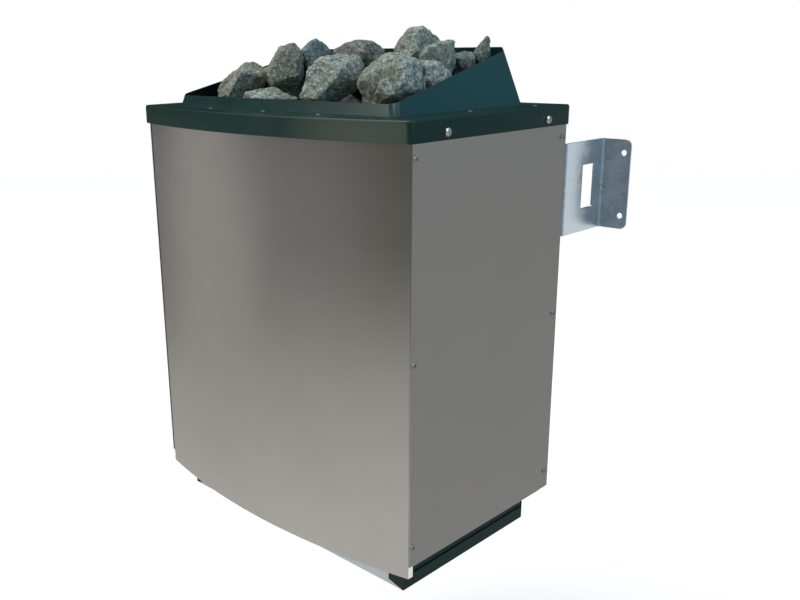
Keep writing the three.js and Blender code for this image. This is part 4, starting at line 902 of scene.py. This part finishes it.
def splits_of(number):
    """The flat faces that the splitting left on a stone: the way each one faces, and how much it took off."""
    if number in SPLITS:
        return SPLITS[number]
    turns = [(number + step) * LOW_SPLIT_TURN for step in range(LOW_SPLIT_COUNT)]
    return [((math.cos(turn), math.sin(turn), LOW_SPLIT_RISE * step), LOW_SPLIT_DEPTH)
            for step, turn in enumerate(turns)]


def split_face(spot):
    """How far a broken face stands out or in at a spot, in mm: flat chips, each tilted its own way."""
    out = 0.2 * noise.fractal(spot / GRIT, 0.9, 2.1, 2)
    for size, slope in CHIPS:
        on_chip = spot / (size * MM)
        middle = noise.voronoi(on_chip)[1][0]
        out += size * slope * (noise.cell_vector(middle * 11) - EVEN).dot(on_chip - middle)
    return out


def eased(work, factor):
    bmesh.ops.smooth_vert(work, verts=work.verts, factor=factor,
                          use_axis_x=True, use_axis_y=True, use_axis_z=True)


def remeshed(work, voxel):
    """The same form with an even fine mesh."""
    mesh = bpy.data.meshes.new("cut_stone")
    work.to_mesh(mesh)
    work.free()
    block = bpy.data.objects.new("cut_stone", mesh)
    bpy.context.scene.collection.objects.link(block)
    fine = block.modifiers.new("fine", "REMESH")
    fine.mode = "VOXEL"
    fine.voxel_size = voxel * MM
    made = block.evaluated_get(bpy.context.evaluated_depsgraph_get())
    even = bmesh.new()
    even.from_mesh(made.to_mesh())
    made.to_mesh_clear()
    bpy.data.objects.remove(block)
    bpy.data.meshes.remove(mesh)
    return even


def broken(node, splits, voxel, rounding, share):
    """A stone's cut form, split along flat faces, then finely broken: edges worn round, faces chipped."""
    cut = copied(node)
    for facing, depth in splits:
        out = Vector(facing).normalized()
        reach = max(vert.co.dot(out) for vert in cut.verts) - depth * MM
        made = bmesh.ops.bisect_plane(cut, geom=everything_in(cut), plane_co=out * reach, plane_no=out,
                                      clear_outer=True)
        bmesh.ops.edgeloop_fill(cut, edges=edges_of(made, "geom_cut"))
    stone = remeshed(cut, voxel)
    for _ in range(rounding):
        eased(stone, 0.5)
    stone.normal_update()
    heights = [split_face(vert.co) for vert in stone.verts]
    for vert, height in zip(stone.verts, heights):
        vert.co += vert.normal * height * share * MM
    eased(stone, 0.35)
    stone.normal_update()
    # Curvature at each point: the rock finish uses it to paint ridges paler and hollows darker.
    wear_and_painted_shade = stone.verts.layers.float.new("edge")
    for vert in stone.verts:
        ring = [edge.other_vert(vert).co for edge in vert.link_edges]
        vert[wear_and_painted_shade] = (vert.co - sum(ring, Vector()) / len(ring)).dot(vert.normal) / (voxel * MM)
    return stone


SEEN_COUNT = 12
HEAP_COUNT = 24
BED_COUNT = 4
SMALL = (10, 11, 12)
heap = []
for number in range(1, HEAP_COUNT + 1):
    node = f"stone_{number:02d}"
    stone = broken(node, splits_of(number), voxel=1.2 if number <= SEEN_COUNT else 2.4, rounding=1,
                   share=0.6 if number in SMALL else 1.0)
    # Stones not listed in ROCK_OF take the darker copy, as painted shade.
    rock = ROCK_OF.get(number, shaded_rock)
    heap.append(place(f"rock_{number:02d}", stone, rock, "heater", [node], crisp=75))
stone_light = soft_light("stone_light", spot=(-0.9, -1.9, 0.8), aim=(0, -0.2, 0.12),
                         size=1.0, watts=5.5, colour=(1.0, 0.91, 0.60))
stone_fill = soft_light("stone_fill", spot=(0.9, -1.5, 0.15), aim=(0, -0.25, 0.12),
                        size=1.0, watts=1.5, colour=(0.85, 0.95, 1.0))
stone_window = soft_light("stone_window", spot=(2.0, -0.5, 0.5), aim=(0, -0.2, 0.12),
                          size=1.2, watts=4.5, colour=(0.15, 0.64, 1.0))
for lamp in (stone_light, stone_fill, stone_window):
    light_only(lamp, *heap)
for number in range(1, BED_COUNT + 1):
    node = f"stone_bed_{number}"
    bed = broken(node, (), voxel=3.0, rounding=2, share=0.8)
    # The bed stones take the darker copy, as painted shade.
    place(f"rock_bed_{number}", bed, shaded_rock, "heater", [node], crisp=75)
